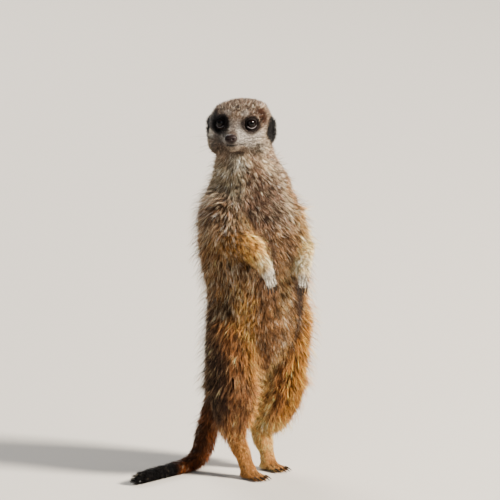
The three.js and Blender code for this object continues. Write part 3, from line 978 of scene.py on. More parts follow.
# %% Spots of the head
PAIRED_SPOTS = (  # colour, place, reach, amount, edge and ticking, on the left and on the right
    (BROWN_HAIR_AND_SHADE, (8, 4.5, 14.5), (7, 5, 3), 0.5, 1.6, 0.9),  # forehead
    (BROWN_HAIR_AND_SHADE, (1, 13, 12), (5, 3.6, 3), 0.6, 1.6, 0.9),  # side of the crown
    (WHITISH, (16.5, 7, 12.4), (4, 3, 2.6), 0.5, 1.6, 0.4),  # brow
    (WHITISH, (14.5, 17, -4.5), (5, 4, 3), 0.6, 1.6, 0.2),  # cheek under the eye
    (RUST, (7.2, 18.6, 9), (4.4, 4.4, 7.5), 1, 1.4, 0.2),  # between eye and ear
    (EYE_PATCH_AND_SHADE, (19.5, 11.4, 4.0), (11, 10.4, 7.6), 0.97, 1.2, 0.05),
    (SOOT, (17.5, 11.4, 4.2), (6.6, 5, 4.8), 0.8, 1.25, 0),  # lids
    (SOOT, tuple(EAR_AT + (2.5, 0.5, 0)), (10.5, 5.5, 11.5), 1, 1.2, 0),  # ear
)
RIDGE_SPOTS = (
    (BROWN_HAIR_AND_SHADE, (28, 0, 6.5), (10, 2.6, 5), 0.45, 1.6, 0.6),  # between the eyes
    (BROWN_HAIR_AND_SHADE, (38, 0, 0.5), (6, 3.6, 3), 0.75, 1.6, 0.1),  # bridge of the nose
)
RIGHT_EYE_PATCH_AND_SHADE = (  # the right eye's patch, made wider by painted shade that runs on towards the ear
    (SOOT, (19, -11.5, 3.5), (11, 10.5, 8), 0.8, 1.2, 0),
    (SOOT, (8, -18, 4), (10, 6, 6.5), 0.85, 1.3, 0.1),
)
# painted shade and painted light on the right of the face, which is turned from the key light
RIGHT_FACE_LIGHT_AND_SHADE = (
    (EYE_PATCH_AND_SHADE, (27, -8, 3.5), (7, 4, 5), 0.8, 1.5, 0.1),  # painted shade before the eye
    (BROWN_HAIR_AND_SHADE, (16, -15, -13), (12, 8, 7), 0.45, 1.5, 0.4),  # painted shade on the jaw
    (WHITE_HAIR_AND_LIGHT, (4, -20.5, -7), (7, 5, 3.5), 0.8, 1.5, 0.2),  # painted light on the cheek
    (BROWN_HAIR_AND_SHADE, (40.5, 0, -6.4), (4, 6, 2.2), 0.45, 1.5, 0.1),  # the lip's dark skin and a painted shadow under the nose
    (EYE_PATCH_AND_SHADE, (33, -6, 0), (5, 3, 3), 0.6, 1.5, 0.1),  # painted shade on the side of the muzzle
)
spots_alone = len(RIDGE_SPOTS) + len(RIGHT_EYE_PATCH_AND_SHADE) + len(RIGHT_FACE_LIGHT_AND_SHADE)
print("spots:", len(PAIRED_SPOTS), "pairs and", spots_alone, "alone")

# %% [markdown]
# The head's paint goes on from the large to the small: crown, muzzle and cheeks first, then patches and
# spots, with painted shade under the jaw and painted shade and light on the right of the face, and last a
# painted highlight on the lower lids, the dark line of the lips and the rim of the nose.

# %% Markings of the head
def paint_spots(coat, face, spots, side=1):
    head = coat.share["head"] + coat.share["ear"]
    for colour, place, reach, amount, edge, ticking in spots:
        there = patch(face, np.array(place) * (1, side, 1), reach, edge)
        coat.paint(colour, head * there * amount, ticking)


def paint_head(coat):
    face = in_head(coat.points)
    forward, up, head = face[:, 0], face[:, 2], coat.share["head"]
    coat.paint(BROWN_HAIR_AND_SHADE, head * step(up, 4, 13) * (1 - step(forward, 18, 27)) * 0.35, 1.0)
    coat.paint(WHITISH, head * (1 - step(up, -6, 3)) * step(forward, -12, 8) * 0.85, 0.4)
    coat.paint(WHITISH, head * step(forward, 20, 27) * 0.85, 0.35)
    coat.paint(CHEEK, head * (1 - step(forward, 2, 20)) * (1 - step(up, -8, 4)) * 0.8, 0.5)
    mouth = mouth_height(forward)
    # the chin below the mouth is its own tan, darkened by painted shade
    coat.paint(CHIN_TAN_AND_SHADE, head * (1 - step(up, mouth - 1.5, mouth)) * 0.8, 0.15)
    paint_spots(coat, face, RIDGE_SPOTS)
    for side in (1, -1):
        paint_spots(coat, face, PAIRED_SPOTS, side)
    paint_spots(coat, face, RIGHT_EYE_PATCH_AND_SHADE)
    # painted shade: head faces that look down, from the middle of the jaw to its right, are darkened
    jaw_underside_shade = head * step(-coat.normals @ head_axes[:, 2], 0.1, 0.7) * (1 - step(face[:, 1], 2, 12))
    coat.paint(BROWN_HAIR_AND_SHADE, jaw_underside_shade * (1 - step(forward, 24, 34)) * 0.7, 0.4)
    paint_spots(coat, face, RIGHT_FACE_LIGHT_AND_SHADE)
    # painted highlight: a pale line along each lower lid, where its wet rim would reflect light
    for side in (1, -1):
        _, b, out, opening = before_eye(face, side)
        rim = step(opening, 0.9, 1.0) * (1 - step(opening, 1.12, 1.25)) * step(-b, 1.0, 2.2) * (out > 0)
        coat.paint(LID_HIGHLIGHT, head * rim * 0.8, 0)
    lip = np.exp(-(((up - mouth) / 0.8) ** 2)) * step(forward, 22, 27)
    coat.paint(SOOT, head * lip * 0.85, 0)
    coat.paint(SOOT, head * patch(face, NOSE_AT + (0, 0, 0.5), (4.8, 5.4, 4.9), 1.25) * 0.7, 0)


print("the mouth falls from", mouth_height(41), "to", round(mouth_height(22), 1), "mm at its corner")

# %% [markdown]
# Every point gets its layers in one order: body, arms, legs, soles and tail, and the head last. The
# skin keeps the result on its vertices, darker where a deep coat will lie over it.

# %% Paint the skin
def markings(points, normals, share):
    """The finished colour and ticking at every point, both from 0 to 1."""
    coat = Painter(points, normals, share)
    for paint_part in (paint_body, paint_arms, paint_legs, paint_soles_and_tail, paint_head):
        paint_part(coat)
    return np.clip(coat.colour, 0, 1), np.clip(coat.tick, 0, 1)


def paint_mesh(mesh, colours):
    """Stores a colour on every vertex, which the materials read."""
    layer = mesh.color_attributes.new("coat", "FLOAT_COLOR", "POINT")
    layer.data.foreach_set("color", np.column_stack([colours, np.ones(len(colours))]).ravel())


skin_colour = markings(skin_points, normals, share)[0]
under_coat = np.interp(depth, [0.8, 5], [0.7, 0.3])  # little light reaches the skin under a deep coat
paint_mesh(skin_mesh, skin_colour * under_coat[:, None])
print("skin painted; its mean colour is", skin_colour.mean(axis=0).round(3))

# %% [markdown]
# Hair and skin read their colour from the vertices. Noise on the object's own place breaks it up, and
# a fine bump stands for the hairs too small to model. Hair has a little sheen at grazing angles; more
# of it would turn the black patches grey.

# %% Materials of skin and coat
def add_node(tree, kind, **values):
    return set_inputs(tree.nodes.new(kind), **values)


def wire(tree, *links):
    """Each link is a node and its output, and the node and input that it goes to."""
    for source, output, target, place in links:
        tree.links.new(source.outputs[output], target.inputs[place])


def coat_material(name, roughness, bump_scale, bump_depth, sheen):
    material, shader = plain_material(name, (0.3, 0.2, 0.1), roughness)
    set_inputs(shader, Sheen_Weight=sheen, Sheen_Roughness=0.5, Specular_IOR_Level=0.22)
    tree = material.node_tree
    painted = add_node(tree, "ShaderNodeAttribute")
    painted.attribute_name = "coat"
    place = add_node(tree, "ShaderNodeTexCoord")
    grain = add_node(tree, "ShaderNodeTexNoise", Scale=bump_scale, Detail=3)
    lift = add_node(tree, "ShaderNodeMapRange", To_Min=0.72, To_Max=1.28)
    shade = add_node(tree, "ShaderNodeVectorMath")
    shade.operation = "SCALE"
    bump = add_node(tree, "ShaderNodeBump", Distance=bump_depth)
    wire(
        tree,
        (place, "Object", grain, "Vector"),
        (grain, "Fac", lift, "Value"),
        (painted, "Color", shade, 0),
        (lift, "Result", shade, "Scale"),
        (shade, "Vector", shader, "Base Color"),
        (grain, "Fac", bump, "Height"),
        (bump, "Normal", shader, "Normal"),
    )
    return material


skin_material = coat_material("skin and short hair", 0.75, 900, 0.25 * MM, 0.02)
hair_material = coat_material("hair", 0.6, 500, 0.02 * MM, 0.03)
skin_mesh.materials.append(skin_material)
print("materials:", skin_material.name, "and", hair_material.name)

# %% [markdown]
# The coat's colours are baked later, so skin and tufts need a flat map. The skin is unwrapped by its
# own shape, and each tuft will take a tiny patch of that map at the place of its root.

# %% Unwrap the skin
BAKE_MAP = "OFBake"
while skin_mesh.uv_layers:
    skin_mesh.uv_layers.remove(skin_mesh.uv_layers[0])
skin_mesh.uv_layers.new(name=BAKE_MAP)
bpy.context.view_layer.objects.active = skin
skin.select_set(True)
bpy.ops.object.mode_set(mode="EDIT")
bpy.ops.mesh.select_all(action="SELECT")
bpy.ops.uv.smart_project(angle_limit=math.radians(66), island_margin=0.0005)
bpy.ops.object.mode_set(mode="OBJECT")
triangles = read(skin_mesh.loops, "vertex_index", 1, np.int64).reshape(-1, 3)
corner_map = read(skin_mesh.uv_layers[BAKE_MAP].data, "uv", 2).reshape(-1, 3, 2)
print("unwrapped", len(triangles), "triangles; the map ends at", corner_map.max().round(3))

# %% [markdown]
# Tufts grow at random places, closer together where they are short. A tuft's length follows from the
# coat's depth and from how steeply it stands, so that the tips end where the solids' surface was, or
# a little past it, where they fray the outline.

# %% Where tufts grow
rng = np.random.default_rng(20)
LIFT_SHORT, LIFT_LONG, LIFT_BACK = (math.radians(angle) for angle in (18, 36, 54))
MORE_BETWEEN_LEGS, MORE_HEAD, MORE_FACE = (math.radians(angle) for angle in (20, 12, 6))
AMOUNT = 1.15  # tufts grown for each one that the cover asks for
BEYOND = {  # millimetres that the tips reach past the solids, to fray the outline
    "head": 1.2,
    "neck": 0.9,
    "trunk": 1.0,
    "upper_arm": 1.0,
    "forearm": 0.6,
    "thigh": 1.0,
    "shank": 0.9,
    "tail_root": 1.3,
    "tail_middle": 1.3,
    "tail_tip": 1.0,
    "ear": 0.2,
}
BEYOND_BETWEEN_LEGS, BEYOND_ANKLE = 2.6, 1.3

behind = 1 - step(normals @ CHEST_FACES, -0.7, 0.2)
lift_long = LIFT_LONG + (LIFT_BACK - LIFT_LONG) * behind * (share["trunk"] + share["upper_arm"])
lift = LIFT_SHORT + (lift_long - LIFT_SHORT) * step(depth, 0.8, 4.2)
tall = skin_points[:, 2] / MM
between_legs = step(normals[:, 0] * np.sign(middle_x - skin_points[:, 0]), 0.2, 0.8) * leg_share
between_legs *= step(tall, 38, 48) * (1 - step(tall, 84, 100)) * (1 + 0.6 * (1 - step(tall, 66, 80)))
hock = (share["shank"] + share["hindfoot"]) * step(tall, 16, 24) * (1 - step(tall, 40, 50))
on_head = in_head(skin_points)
on_face = share["head"] * step(on_head[:, 0], -2, 12)
beyond = sum(value * share[name] for name, value in BEYOND.items()) * (1 - on_face)
beyond += BEYOND_BETWEEN_LEGS * between_legs + BEYOND_ANKLE * hock
lift += MORE_BETWEEN_LEGS * between_legs
lift += MORE_HEAD * (share["head"] * (1 - on_face) + hock)
lift += MORE_FACE * on_face
length = (depth + beyond) / np.sin(lift)
print("tufts are", length.min().round(1), "to", length.max().round(1), "mm long")

# %% [markdown]
# How many tufts are needed follows from the cover: how many layers of hair lie over each place. The
# eyes' openings, the nose pad and the soles stay bare. Random places come from the triangles' areas,
# as Blender's Distribute Points on Faces would do it, but with the corner weights kept for later use.

# %% How close tufts grow
BARE_NOSE = 4.7  # millimetres round the middle of the nose pad

width = np.clip(0.1 + 0.021 * length, 0.12, 0.34)
cover = np.interp(length, [1.5, 4, 8, 14], [1.4, 2.6, 3.4, 4.2])
density = AMOUNT * cover / (0.6 * width * length)
no_hair = step(-normals[:, 2], 0.6, 0.9) * share["hindfoot"] > 0.5
for side in (1, -1):
    _, _, out, opening = before_eye(on_head, side)
    no_hair |= (opening < 1.2) & (out > 0)
no_hair |= np.linalg.norm(on_head - NOSE_AT, axis=1) < BARE_NOSE
density *= ~no_hair * (1 - 0.85 * between_digits(skin_points))


def random_places(per_mm2):
    """Random places on the skin: a triangle each, and the weights of its three corners."""
    a, b, c = (skin_points[triangles[:, k]] for k in range(3))
    area = np.linalg.norm(np.cross(b - a, c - a), axis=1) / 2 / MM**2
    chance = np.cumsum(area * per_mm2[triangles].min(axis=1))
    count = int(chance[-1])
    chosen = np.searchsorted(chance, rng.random(count) * chance[-1])
    r, s = np.sqrt(rng.random(count)), rng.random(count)
    return chosen, np.column_stack([1 - r, r * (1 - s), r * s])


def at_roots(values):
    """A value known at the skin's vertices, read at the roots."""
    return np.einsum("ij,ij...->i...", corners, values[triangles[chosen]])


chosen, corners = random_places(density)
root = at_roots(skin_points)
root_normal = unit(at_roots(normals))
root_lie = on_surface(at_roots(lies), root_normal)
root_map = (corner_map[chosen] * corners[:, :, None]).sum(axis=1)
root_share = {name: at_roots(values) for name, values in share.items()}
read_share = 0.45 + 0.25 * root_share["head"]  # how far along a tuft its colour is read
read_at = root + root_lie * (at_roots(length) * read_share * MM)[:, None]
root_colour, root_tick = markings(read_at, root_normal, root_share)
count = len(root)
print("tufts:", count)

# %% [markdown]
# A tuft is a closed spindle of three sides: a point sunk in the skin, a ring or two, and a tip. It
# leaves the skin steeply and then lies down, with some sway, and a few long guard hairs stand out.

# %% The shape of the tufts
SUNK = 0.5 * MM
STEEPEST = math.radians(76)
ALONG = np.array([0.0, 0.28, 0.66, 1.0])  # root, two rings and tip
THICK = np.array([0.0, 1.0, 0.72, 0.0])
BEND = np.array([0.0, 1.45, 1.12, 0.9])  # lift at each stop, as a share of the mean lift
GUARD_SHARE = 0.11
SWAY = 0.3  # radians

guard = rng.random(count) < GUARD_SHARE * at_roots(step(depth, 2.5, 5))
tuft_length = at_roots(length) * rng.uniform(0.66, 1.1, count) * (1 + 0.65 * guard)
tuft_lift = np.minimum(at_roots(lift) * rng.uniform(0.7, 1.3, count) * (1 + 0.35 * guard), STEEPEST)
tuft_width = at_roots(width) * rng.uniform(0.75, 1.25, count) * (1 - 0.35 * guard)
sway = rng.normal(0, SWAY, count)
aside = np.cross(root_normal, root_lie)
heading = root_lie * np.cos(sway)[:, None] + aside * np.sin(sway)[:, None]
sideways = np.cross(root_normal, heading)

stops = np.empty((count, 4, 3))
stops[:, 0] = root - root_normal * SUNK
for k in (1, 2, 3):
    rise = tuft_lift * BEND[k]
    reach = (tuft_length * ALONG[k] * MM)[:, None]
    stops[:, k] = root + (heading * np.cos(rise)[:, None] + root_normal * np.sin(rise)[:, None]) * reach
print("guard hairs:", int(guard.sum()), "longest tuft:", tuft_length.max().round(1), "mm")

# %% [markdown]
# Fur clumps: damp or worn hairs lean together at their tips. Each tuft joins the lock of the nearest
# leader and its tip moves towards the leader's tip. Roots are compared a little above the skin, so
# that the tufts on both sides of a thin part, such as an ear, don't share a lock.

# %% Lean the tufts into locks
LOCK = 4  # tufts in a lock, on average
PULLED = ((1, 0.08), (2, 0.5), (3, 1.0))  # how much of the pull reaches each stop
LOCK_REACH = 6 * MM  # a tip farther than this from its leader's stays where it is
FLOOR_ROOM = 0.3 * MM  # no hair goes through the floor

leader = np.sort(rng.choice(count, count // LOCK, replace=False))
above_root = root + root_normal * 2 * MM
lock = nearest_in(tree_of(above_root[leader]), above_root)
pull = (np.interp(tuft_length, [2, 5, 10], [0.2, 0.5, 0.7]) * ~guard)[:, None]
to_leader = stops[leader[lock], 3] - stops[:, 3]
near_leader = (np.linalg.norm(to_leader, axis=1) < LOCK_REACH)[:, None]
for k, part in PULLED:
    stops[:, k] += to_leader * pull * part * near_leader
stops[:, :, 2] = np.maximum(stops[:, :, 2], FLOOR_ROOM)
print("locks:", len(leader))

# %% [markdown]
# Coats look alive when neighbours differ. The hairs of a lock share one brightness, each hair has a
# little of its own, and noise makes larger light and dark clumps. A long tuft is dark at its root,
# where no light comes, and ticking makes some tips dark and some light: that is the grizzle.

# %% The colour of the tufts
SPECK, CLUMP = 1.5 * MM, 6 * MM  # the sizes of the light and dark specks and clumps of the coat
DARK_SHARE, LIGHT_SHARE = 0.47, 0.40  # of the hairs, where the ticking is full
LIGHT_HAIR, GOLD_HAIR = rgb(236, 214, 184), rgb(206, 160, 114)
SHORT_SHADE = np.array([0.45, 0.85, 1.1, 1.2])  # brightness from the root to the tip of short hair
LONG_SHADE = np.array([0.14, 0.6, 1.15, 1.4])
DARK_TIP = np.array([0.45, 0.2, 0.12])

speck = np.array([noise.noise(Vector(p) / SPECK) for p in root.tolist()])
clump = np.array([noise.noise(Vector(p) / CLUMP) for p in root.tolist()])
in_coat = np.interp(tuft_length, [2, 8], [0.3, 1])  # how much of a long coat this is
lock_light = np.clip(rng.normal(0, 1, len(leader)), -2.2, 1.7)[lock] * (0.22 + 0.3 * in_coat)
own_light = rng.normal(0, 1, count) * (0.2 + 0.12 * root_share["head"])
own_light += speck * 0.55 * root_share["head"] + clump * 0.6 * in_coat
tuft_light = np.exp(lock_light + own_light)
own = np.interp(in_coat, [0.3, 1], [0.7, 0.3])  # how far a hair's tip is its own, not its lock's
draw = own * rng.random(count) + (1 - own) * rng.random(len(leader))[lock] + speck * 0.25
dark_tip = draw < root_tick * DARK_SHARE
light_tip = draw > 1 - root_tick * LIGHT_SHARE
golden = (root_share["thigh"] + root_share["shank"] + root_share["tail_root"])[:, None]
light_hair = LIGHT_HAIR + (GOLD_HAIR - LIGHT_HAIR) * np.clip(golden * 0.8, 0, 1)
longish = np.interp(in_coat, [0.3, 1], [0, 1])
shade = SHORT_SHADE[:, None] + (LONG_SHADE - SHORT_SHADE)[:, None] * longish
stop_colour = root_colour[:, None, :] * shade.T[:, :, None]
stop_colour[dark_tip, 1:] *= DARK_TIP[None, :, None]
towards = (light_hair[light_tip] - stop_colour[light_tip, 3]) * 0.85
stop_colour[light_tip, 3] += towards
stop_colour[light_tip, 2] += towards * 0.7
stop_colour = np.clip(stop_colour * tuft_light[:, None, None], 0, 0.95)
print("dark tips:", int(dark_tip.sum()), "light tips:", int(light_tip.sum()))

# %% [markdown]
# Hair curves would be the usual way to show fur, but they are lost when the model is exported, so
# every tuft is real mesh. The points and triangles of all the tufts of a piece are made together, as
# arrays, which is many times faster than a loop with bmesh.

# %% Spindles
LONG_TUFT = 10  # millimetres: from here a tuft has two rings, so that it can bend
PATCH = 0.003  # a tuft's patch of the map


def spindles(rows, rings):
    """Points, triangles, colours and map of the tufts in these rows, with one or two rings."""
    picks = [0, 1, 2, 3] if rings == 2 else [0, 1, 3]
    path = stops[rows][:, picks]
    shade = stop_colour[rows][:, picks]
    if rings == 1:  # the one ring lies between the two
        path[:, 1] = stops[rows, 1] * 0.6 + stops[rows, 2] * 0.4
        shade[:, 1] = stop_colour[rows, 1:3].mean(axis=1)
    wide = sideways[rows] * (tuft_width[rows] / 2 * MM)[:, None]
    ahead = unit(path[:, -1] - path[:, 1])
    high = np.cross(ahead, unit(sideways[rows])) * (tuft_width[rows] / 3 * MM)[:, None]
    size = 2 + 3 * rings
    points = np.empty((len(rows), size, 3))
    colours = np.empty((len(rows), size, 3))
    flat = np.empty((size, 2))
    points[:, 0], colours[:, 0], flat[0] = path[:, 0], shade[:, 0], (0, -0.5)
    for ring in range(rings):
        for corner in range(3):
            turn = 2 * math.pi * corner / 3 + math.pi / 2
            spot = 1 + ring * 3 + corner
            out = wide * math.cos(turn) + high * math.sin(turn)
            points[:, spot] = path[:, ring + 1] + out * THICK[ring + 1]
            colours[:, spot] = shade[:, ring + 1]
            flat[spot] = ((corner - 1) * 0.5, -0.5 + ALONG[picks[ring + 1]])
    points[:, -1], colours[:, -1], flat[-1] = path[:, -1], shade[:, -1], (0, 0.5)
    faces = [(0, 1 + (k + 1) % 3, 1 + k) for k in range(3)]
    for ring in range(rings - 1):
        low, up = 1 + ring * 3, 4 + ring * 3
        for k in range(3):
            n = (k + 1) % 3
            faces += [(low + k, low + n, up + n), (low + k, up + n, up + k)]
    last = 1 + (rings - 1) * 3
    faces += [(last + k, last + (k + 1) % 3, size - 1) for k in range(3)]
    faces = np.array(faces)[None] + (np.arange(len(rows)) * size)[:, None, None]
    flat_map = root_map[rows][:, None, :] + flat[None] * PATCH
    return points.reshape(-1, 3), faces.reshape(-1, 3), colours.reshape(-1, 3), flat_map.reshape(-1, 2)


longest = spindles(np.array([tuft_length.argmax()]), 2)
print("the longest tuft has", len(longest[0]), "points and", len(longest[1]), "triangles")

# %% [markdown]
# A joined mesh of many thousand tufts is one object that any program can open. Its arrays are handed
# to the mesh at once, with the colours on the points and the map on the corners.

# %% One piece of coat
def coat_piece(name, rows):
    points, faces, colours, flat_map = [], [], [], []
    is_long = tuft_length[rows] >= LONG_TUFT
    for some, rings in ((rows[is_long], 2), (rows[~is_long], 1)):
        if len(some):
            made = spindles(some, rings)
            faces.append(made[1] + sum(len(part) for part in points))
            points.append(made[0])
            colours.append(made[2])
            flat_map.append(made[3])
    points, faces = np.concatenate(points), np.concatenate(faces)
    mesh = bpy.data.meshes.new(name)
    mesh.vertices.add(len(points))
    mesh.vertices.foreach_set("co", points.ravel())
    mesh.loops.add(faces.size)
    mesh.loops.foreach_set("vertex_index", faces.ravel())
    mesh.polygons.add(len(faces))
    mesh.polygons.foreach_set("loop_start", np.arange(0, faces.size, 3))
    mesh.update(calc_edges=True)
    mesh.shade_smooth()
    corners_on_map = np.clip(np.concatenate(flat_map), 0, 1)[faces.ravel()]
    mesh.uv_layers.new(name=BAKE_MAP).data.foreach_set("uv", corners_on_map.ravel())
    paint_mesh(mesh, np.concatenate(colours))
    mesh.materials.append(hair_material)
    piece = new_object(name, mesh)
    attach(piece, "root")
    return len(faces)


print("tufts to join:", count)

# %% [markdown]
# There is one piece for each part of the body, or more where a part has too many triangles, cut by
# height. A tuft belongs to the part that its root has the largest share of.

# %% Build the coat
MOST_TRIANGLES = 190_000
SHORT_FACES, LONG_FACES = 6, 12  # of a tuft with one ring and with two

part_of_root = np.array([root_share[name] for name in REGIONS]).argmax(axis=0)
coat_triangles = 0
for i, name in enumerate(REGIONS):
    rows = np.flatnonzero(part_of_root == i)
    rows = rows[np.argsort(root[rows, 2], kind="stable")]
    each = np.where(tuft_length[rows] >= LONG_TUFT, LONG_FACES, SHORT_FACES)
    pieces = int(np.ceil(each.sum() / MOST_TRIANGLES))
    share_of_piece = np.minimum(np.cumsum(each) * pieces // (each.sum() + 1), pieces - 1)
    for k in range(pieces):
        title = f"coat_{name}" + (f"_{k + 1}" if pieces > 1 else "")
        made = coat_piece(title, rows[share_of_piece == k])
        coat_triangles += made
        print(title, made)
print("coat:", coat_triangles, "triangles")

# %% [markdown]
# The skin stands for every solid of flesh, so no seam of the solids shows. Eyes and nose get pieces
# of their own next, and those replace their solids.

# %% The skin replaces the flesh
skin_nodes = [name for name in flesh if not name.startswith(("eye", "nose"))]
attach(skin, "root")
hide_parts(*skin_nodes)
print("the skin stands for", len(skin_nodes), "solids")

# %% [markdown]
# The eyes are dark, round and wet. Each is a fine ball with the cornea's swell in front. Its colours
# go on the vertices by the angle from the way it looks: pupil, brown iris and a dark rim. A drawn
# iris would need a map of the ball, and vertices as close as these show the same.

# %% Eyes
PUPIL, IRIS = math.radians(17), math.radians(37)
CORNEA = 0.35  # millimetres that the cornea stands proud
PUPIL_STRETCH = 0.72  # the pupil is wider than high by one over this
FIBRES = 23  # in the iris
PUPIL_BLACK = rgb(6, 5, 5)
IRIS_BROWN = rgb(26, 15, 10)
RIM_BROWN = rgb(12, 8, 7)

eye_material, eye_shader = plain_material("wet eye", (0.02, 0.01, 0.01), 0.06)
set_inputs(eye_shader, Coat_Weight=0.05, Specular_IOR_Level=0.22, Coat_Roughness=0.02)
eye_paint = add_node(eye_material.node_tree, "ShaderNodeAttribute")
eye_paint.attribute_name = "coat"
wire(eye_material.node_tree, (eye_paint, "Color", eye_shader, "Base Color"))


def fine_ball(name, segments, rings):
    shape = bmesh.new()
    bmesh.ops.create_uvsphere(shape, u_segments=segments, v_segments=rings, radius=1)
    mesh = bpy.data.meshes.new(name)
    shape.to_mesh(mesh)
    shape.free()
    return mesh


for side, sign in (("left", 1), ("right", -1)):
    mesh = fine_ball(f"eye_{side}_ball", 56, 40)
    look = look_of(sign)
    turn_to = Vector((1, 0, 0)).rotation_difference(Vector(look)).to_matrix()
    way = points_of(mesh)[:, [2, 0, 1]] @ np.array(turn_to).T  # the ball's pole now looks ahead
    angle = np.arccos(np.clip(way @ look, -1, 1))
    radius = EYE_RADIUS + CORNEA * (1 - step(angle, IRIS * 0.5, IRIS * 1.25))
    set_points(mesh, from_head(way * radius[:, None] + eye_at(sign)))
    off_axis = way - np.outer(way @ look, look)
    across, upward = off_axis @ np.cross((0, 0, 1), look), off_axis[:, 2]
    fibres = 1 + 0.25 * np.sin(np.arctan2(upward, across) * FIBRES)
    colour = IRIS_BROWN * fibres[:, None]
    colour = colour + (RIM_BROWN - colour) * step(angle, IRIS * 0.8, IRIS)[:, None]
    from_middle = np.hypot(upward, across * PUPIL_STRETCH)
    in_pupil = 1 - step(from_middle, math.sin(PUPIL) * 0.85, math.sin(PUPIL) * 1.05)
    colour = colour + (PUPIL_BLACK - colour) * in_pupil[:, None]
    paint_mesh(mesh, colour)
    mesh.materials.append(eye_material)
    mesh.shade_smooth()
    eyeball = new_object(f"eyeball_{side}", mesh)
    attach(eyeball, "root")
    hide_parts(f"eye_{side}")
print("eyeballs:", 2 * EYE_RADIUS, "mm across")

# %% [markdown]
# The nose is a pad of bare, damp skin. A fine ball gets its form by sculpting in code: a flat top, a
# groove down the middle, and a nostril on each side that opens forward and curls out and back.

# %% Nose
NOSE_HALF = np.array([3.4, 5.0, 3.8])
NOSE_RAISED = NOSE_AT + (0, 0, 0.5)
FLAT_TOP = 0.86
NOSTRIL_OUT, NOSTRIL_DOWN = 1.75, 0.1  # the middle of a nostril, from the middle of the pad
GROOVE_DEPTH, NOSTRIL_DEPTH, SLIT_DEPTH = 0.55, 1.5, 0.7

nose_mesh = fine_ball("nose_pad", 96, 64)
pad = points_of(nose_mesh) * NOSE_HALF
pad[:, 2] = np.where(pad[:, 2] > 0, pad[:, 2] * FLAT_TOP, pad[:, 2])
front = step(pad[:, 0], -0.6, 1.6)
dip = GROOVE_DEPTH * np.exp(-((pad[:, 1] / 0.32) ** 2)) * front * step(-pad[:, 2], -1.6, 0.2)
for side in (1, -1):
    out, up = pad[:, 1] * side, pad[:, 2]
    hole = ((out - NOSTRIL_OUT) / 0.75) ** 2 + ((up + NOSTRIL_DOWN) / 0.62) ** 2
    dip += NOSTRIL_DEPTH * np.exp(-hole) * front
    slit = (up + 0.35 - 0.25 * (out - 2.2)) / 0.3
    dip += SLIT_DEPTH * np.exp(-(slit**2)) * step(out, 2.0, 2.6) * step(pad[:, 0], -1.8, 0.4)
pad -= unit(pad / NOSE_HALF**2) * dip[:, None]
set_points(nose_mesh, from_head(pad + NOSE_RAISED))
nose_mesh.shade_smooth()
nose_material, nose_shader = plain_material("damp nose", tuple(rgb(40, 27, 25)), 0.5)
set_inputs(nose_shader, Coat_Weight=0.04, Specular_IOR_Level=0.3, Coat_Roughness=0.2)
nose_tree = nose_material.node_tree
nose_place = add_node(nose_tree, "ShaderNodeTexCoord")
pebbles = add_node(nose_tree, "ShaderNodeTexVoronoi", Scale=2600)
pebble_bump = add_node(nose_tree, "ShaderNodeBump", Distance=0.12 * MM)
wire(
    nose_tree,
    (nose_place, "Object", pebbles, "Vector"),
    (pebbles, "Distance", pebble_bump, "Height"),
    (pebble_bump, "Normal", nose_shader, "Normal"),
)
nose_mesh.materials.append(nose_material)
nose = new_object("nose_pad", nose_mesh)
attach(nose, "root")
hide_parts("nose")
print("nose pad:", 2 * NOSE_HALF[1], "mm wide")

# %% [markdown]
# A meerkat digs with long blunt claws of dark horn, a little glossy and streaked. Their solids have
# the right form already, so each is copied and Subdivision Surface rounds its corners. The finished
# claw keeps the solid's size.

# %% Claws
CLAW_GROWN = (1.12, 1.12, 1.04)  # makes up for what the subdivision rounds away
claw_material, claw_shader = plain_material("dark horn", tuple(rgb(58, 44, 36)), 0.38)
claw_tree = claw_material.node_tree
claw_place = add_node(claw_tree, "ShaderNodeTexCoord")
streaks = add_node(claw_tree, "ShaderNodeTexNoise", Scale=700, Detail=4)
horn = add_node(claw_tree, "ShaderNodeValToRGB")
horn.color_ramp.elements[0].color = (*rgb(20, 15, 13), 1)
horn.color_ramp.elements[1].color = (*rgb(64, 50, 42), 1)
wire(
    claw_tree,
    (claw_place, "Object", streaks, "Vector"),
    (streaks, "Fac", horn, "Fac"),
    (horn, "Color", claw_shader, "Base Color"),
)

claw_nodes = sorted(name for name in nodes if name.startswith("claw_"))
for node in claw_nodes:
    points, faces = merged_copy(node)
    centre = points.mean(axis=0)
    mesh = bpy.data.meshes.new(node + "_horn")
    mesh.from_pydata((centre + (points - centre) * CLAW_GROWN).tolist(), [], faces)
    rough = new_object(node + "_rough", mesh)
    smoother = rough.modifiers.new("smooth", "SUBSURF")
    smoother.levels = smoother.render_levels = 2
    horn_mesh = applied(rough)
    bpy.data.objects.remove(rough)
    horn_mesh.shade_smooth()
    horn_mesh.materials.clear()
    horn_mesh.materials.append(claw_material)
    claw = new_object(node + "_horn", horn_mesh)
    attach(claw, "root")
    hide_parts(node)
print("claws:", len(claw_nodes))

# %% [markdown]
# Whiskers are stiff hairs that stand in two rows on each side of the lip and droop a little under
# their own weight. Their paths come first, as curves of straight pieces.

# %% The paths of the whiskers
WHISKER_POINTS = 9


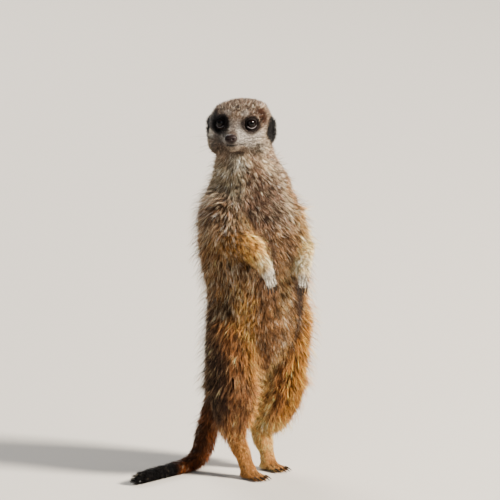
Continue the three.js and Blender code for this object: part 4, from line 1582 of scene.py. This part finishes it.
def whisker_lines():
    """Each whisker as points: rows of roots on the lip, fanned outward, back and down."""
    lines = []
    draw_whisker = np.random.default_rng(7)
    for side in (1, -1):
        for row, height in enumerate((-4.6, -6.2)):
            for place in range(4):
                start = np.array([37.5 - 3.0 * place, side * (4.0 + 1.3 * place), height])
                long = draw_whisker.uniform(21, 30) * (1 - 0.12 * row)
                way = np.array([0.25 - 0.22 * place, side * 1.0, 0.22 - 0.3 * row - 0.05 * place])
                way += draw_whisker.normal(0, 0.06, 3)
                way /= np.linalg.norm(way)
                along = np.linspace(-0.04, 1, WHISKER_POINTS)[:, None]  # it starts inside the lip
                droop = np.array([-0.10, 0, -0.16]) * along**2
                lines.append(from_head(start + (way * along + droop) * long))
    return lines


whisker_curves = bpy.data.curves.new("whisker lines", "CURVE")
whisker_curves.dimensions = "3D"
for line in whisker_lines():
    spline = whisker_curves.splines.new("POLY")
    spline.points.add(len(line) - 1)
    for point, spot in zip(spline.points, line):
        point.co = (*spot, 1)
whisker_source = new_object("whisker lines", whisker_curves)
print("whiskers:", len(whisker_curves.splines))

# %% [markdown]
# What follows a path is work for Geometry Nodes: one tree sweeps a thin tapering tube along every
# curve, with the root's and the tip's thickness as inputs. The result is turned into a plain mesh,
# because the exported model keeps no node trees.

# %% Sweep the whiskers
WHISKER_ROOT, WHISKER_TIP = 0.12 * MM, 0.02 * MM
SWEEP_INPUTS = {"Curves": "NodeSocketGeometry", "Root": "NodeSocketFloat", "Tip": "NodeSocketFloat"}

sweep = bpy.data.node_groups.new("tapering hairs", "GeometryNodeTree")
for name, kind in SWEEP_INPUTS.items():
    sweep.interface.new_socket(name, in_out="INPUT", socket_type=kind)
sweep.interface.new_socket("Hairs", in_out="OUTPUT", socket_type="NodeSocketGeometry")
whisker_material = plain_material("whisker", tuple(rgb(40, 32, 28)), 0.4)[0]
tree_in = add_node(sweep, "NodeGroupInput")
tree_out = add_node(sweep, "NodeGroupOutput")
along = add_node(sweep, "GeometryNodeSplineParameter")
taper = add_node(sweep, "ShaderNodeMapRange")
ring = add_node(sweep, "GeometryNodeCurvePrimitiveCircle", Resolution=5, Radius=1.0)
tube = add_node(sweep, "GeometryNodeCurveToMesh", Fill_Caps=True)
realize = add_node(sweep, "GeometryNodeRealizeInstances")
dress = add_node(sweep, "GeometryNodeSetMaterial", Material=whisker_material)
wire(
    sweep,
    (along, "Factor", taper, "Value"),
    (tree_in, "Root", taper, "To Min"),
    (tree_in, "Tip", taper, "To Max"),
    (tree_in, "Curves", tube, "Curve"),
    (ring, "Curve", tube, "Profile Curve"),
    (taper, "Result", tube, "Scale"),
    (tube, "Mesh", realize, "Geometry"),
    (realize, "Geometry", dress, "Geometry"),
    (dress, "Geometry", tree_out, "Hairs"),
)

sweeper = whisker_source.modifiers.new("hairs", "NODES")
sweeper.node_group = sweep
inputs = {item.name: item.identifier for item in sweep.interface.items_tree if item.in_out == "INPUT"}
sweeper[inputs["Root"]] = WHISKER_ROOT
sweeper[inputs["Tip"]] = WHISKER_TIP
whisker_mesh = applied(whisker_source)
bpy.data.objects.remove(whisker_source)
whisker_mesh.shade_smooth()
whiskers = new_object("whiskers", whisker_mesh)
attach(whiskers, "root")
print("whiskers:", len(whisker_mesh.polygons), "faces")
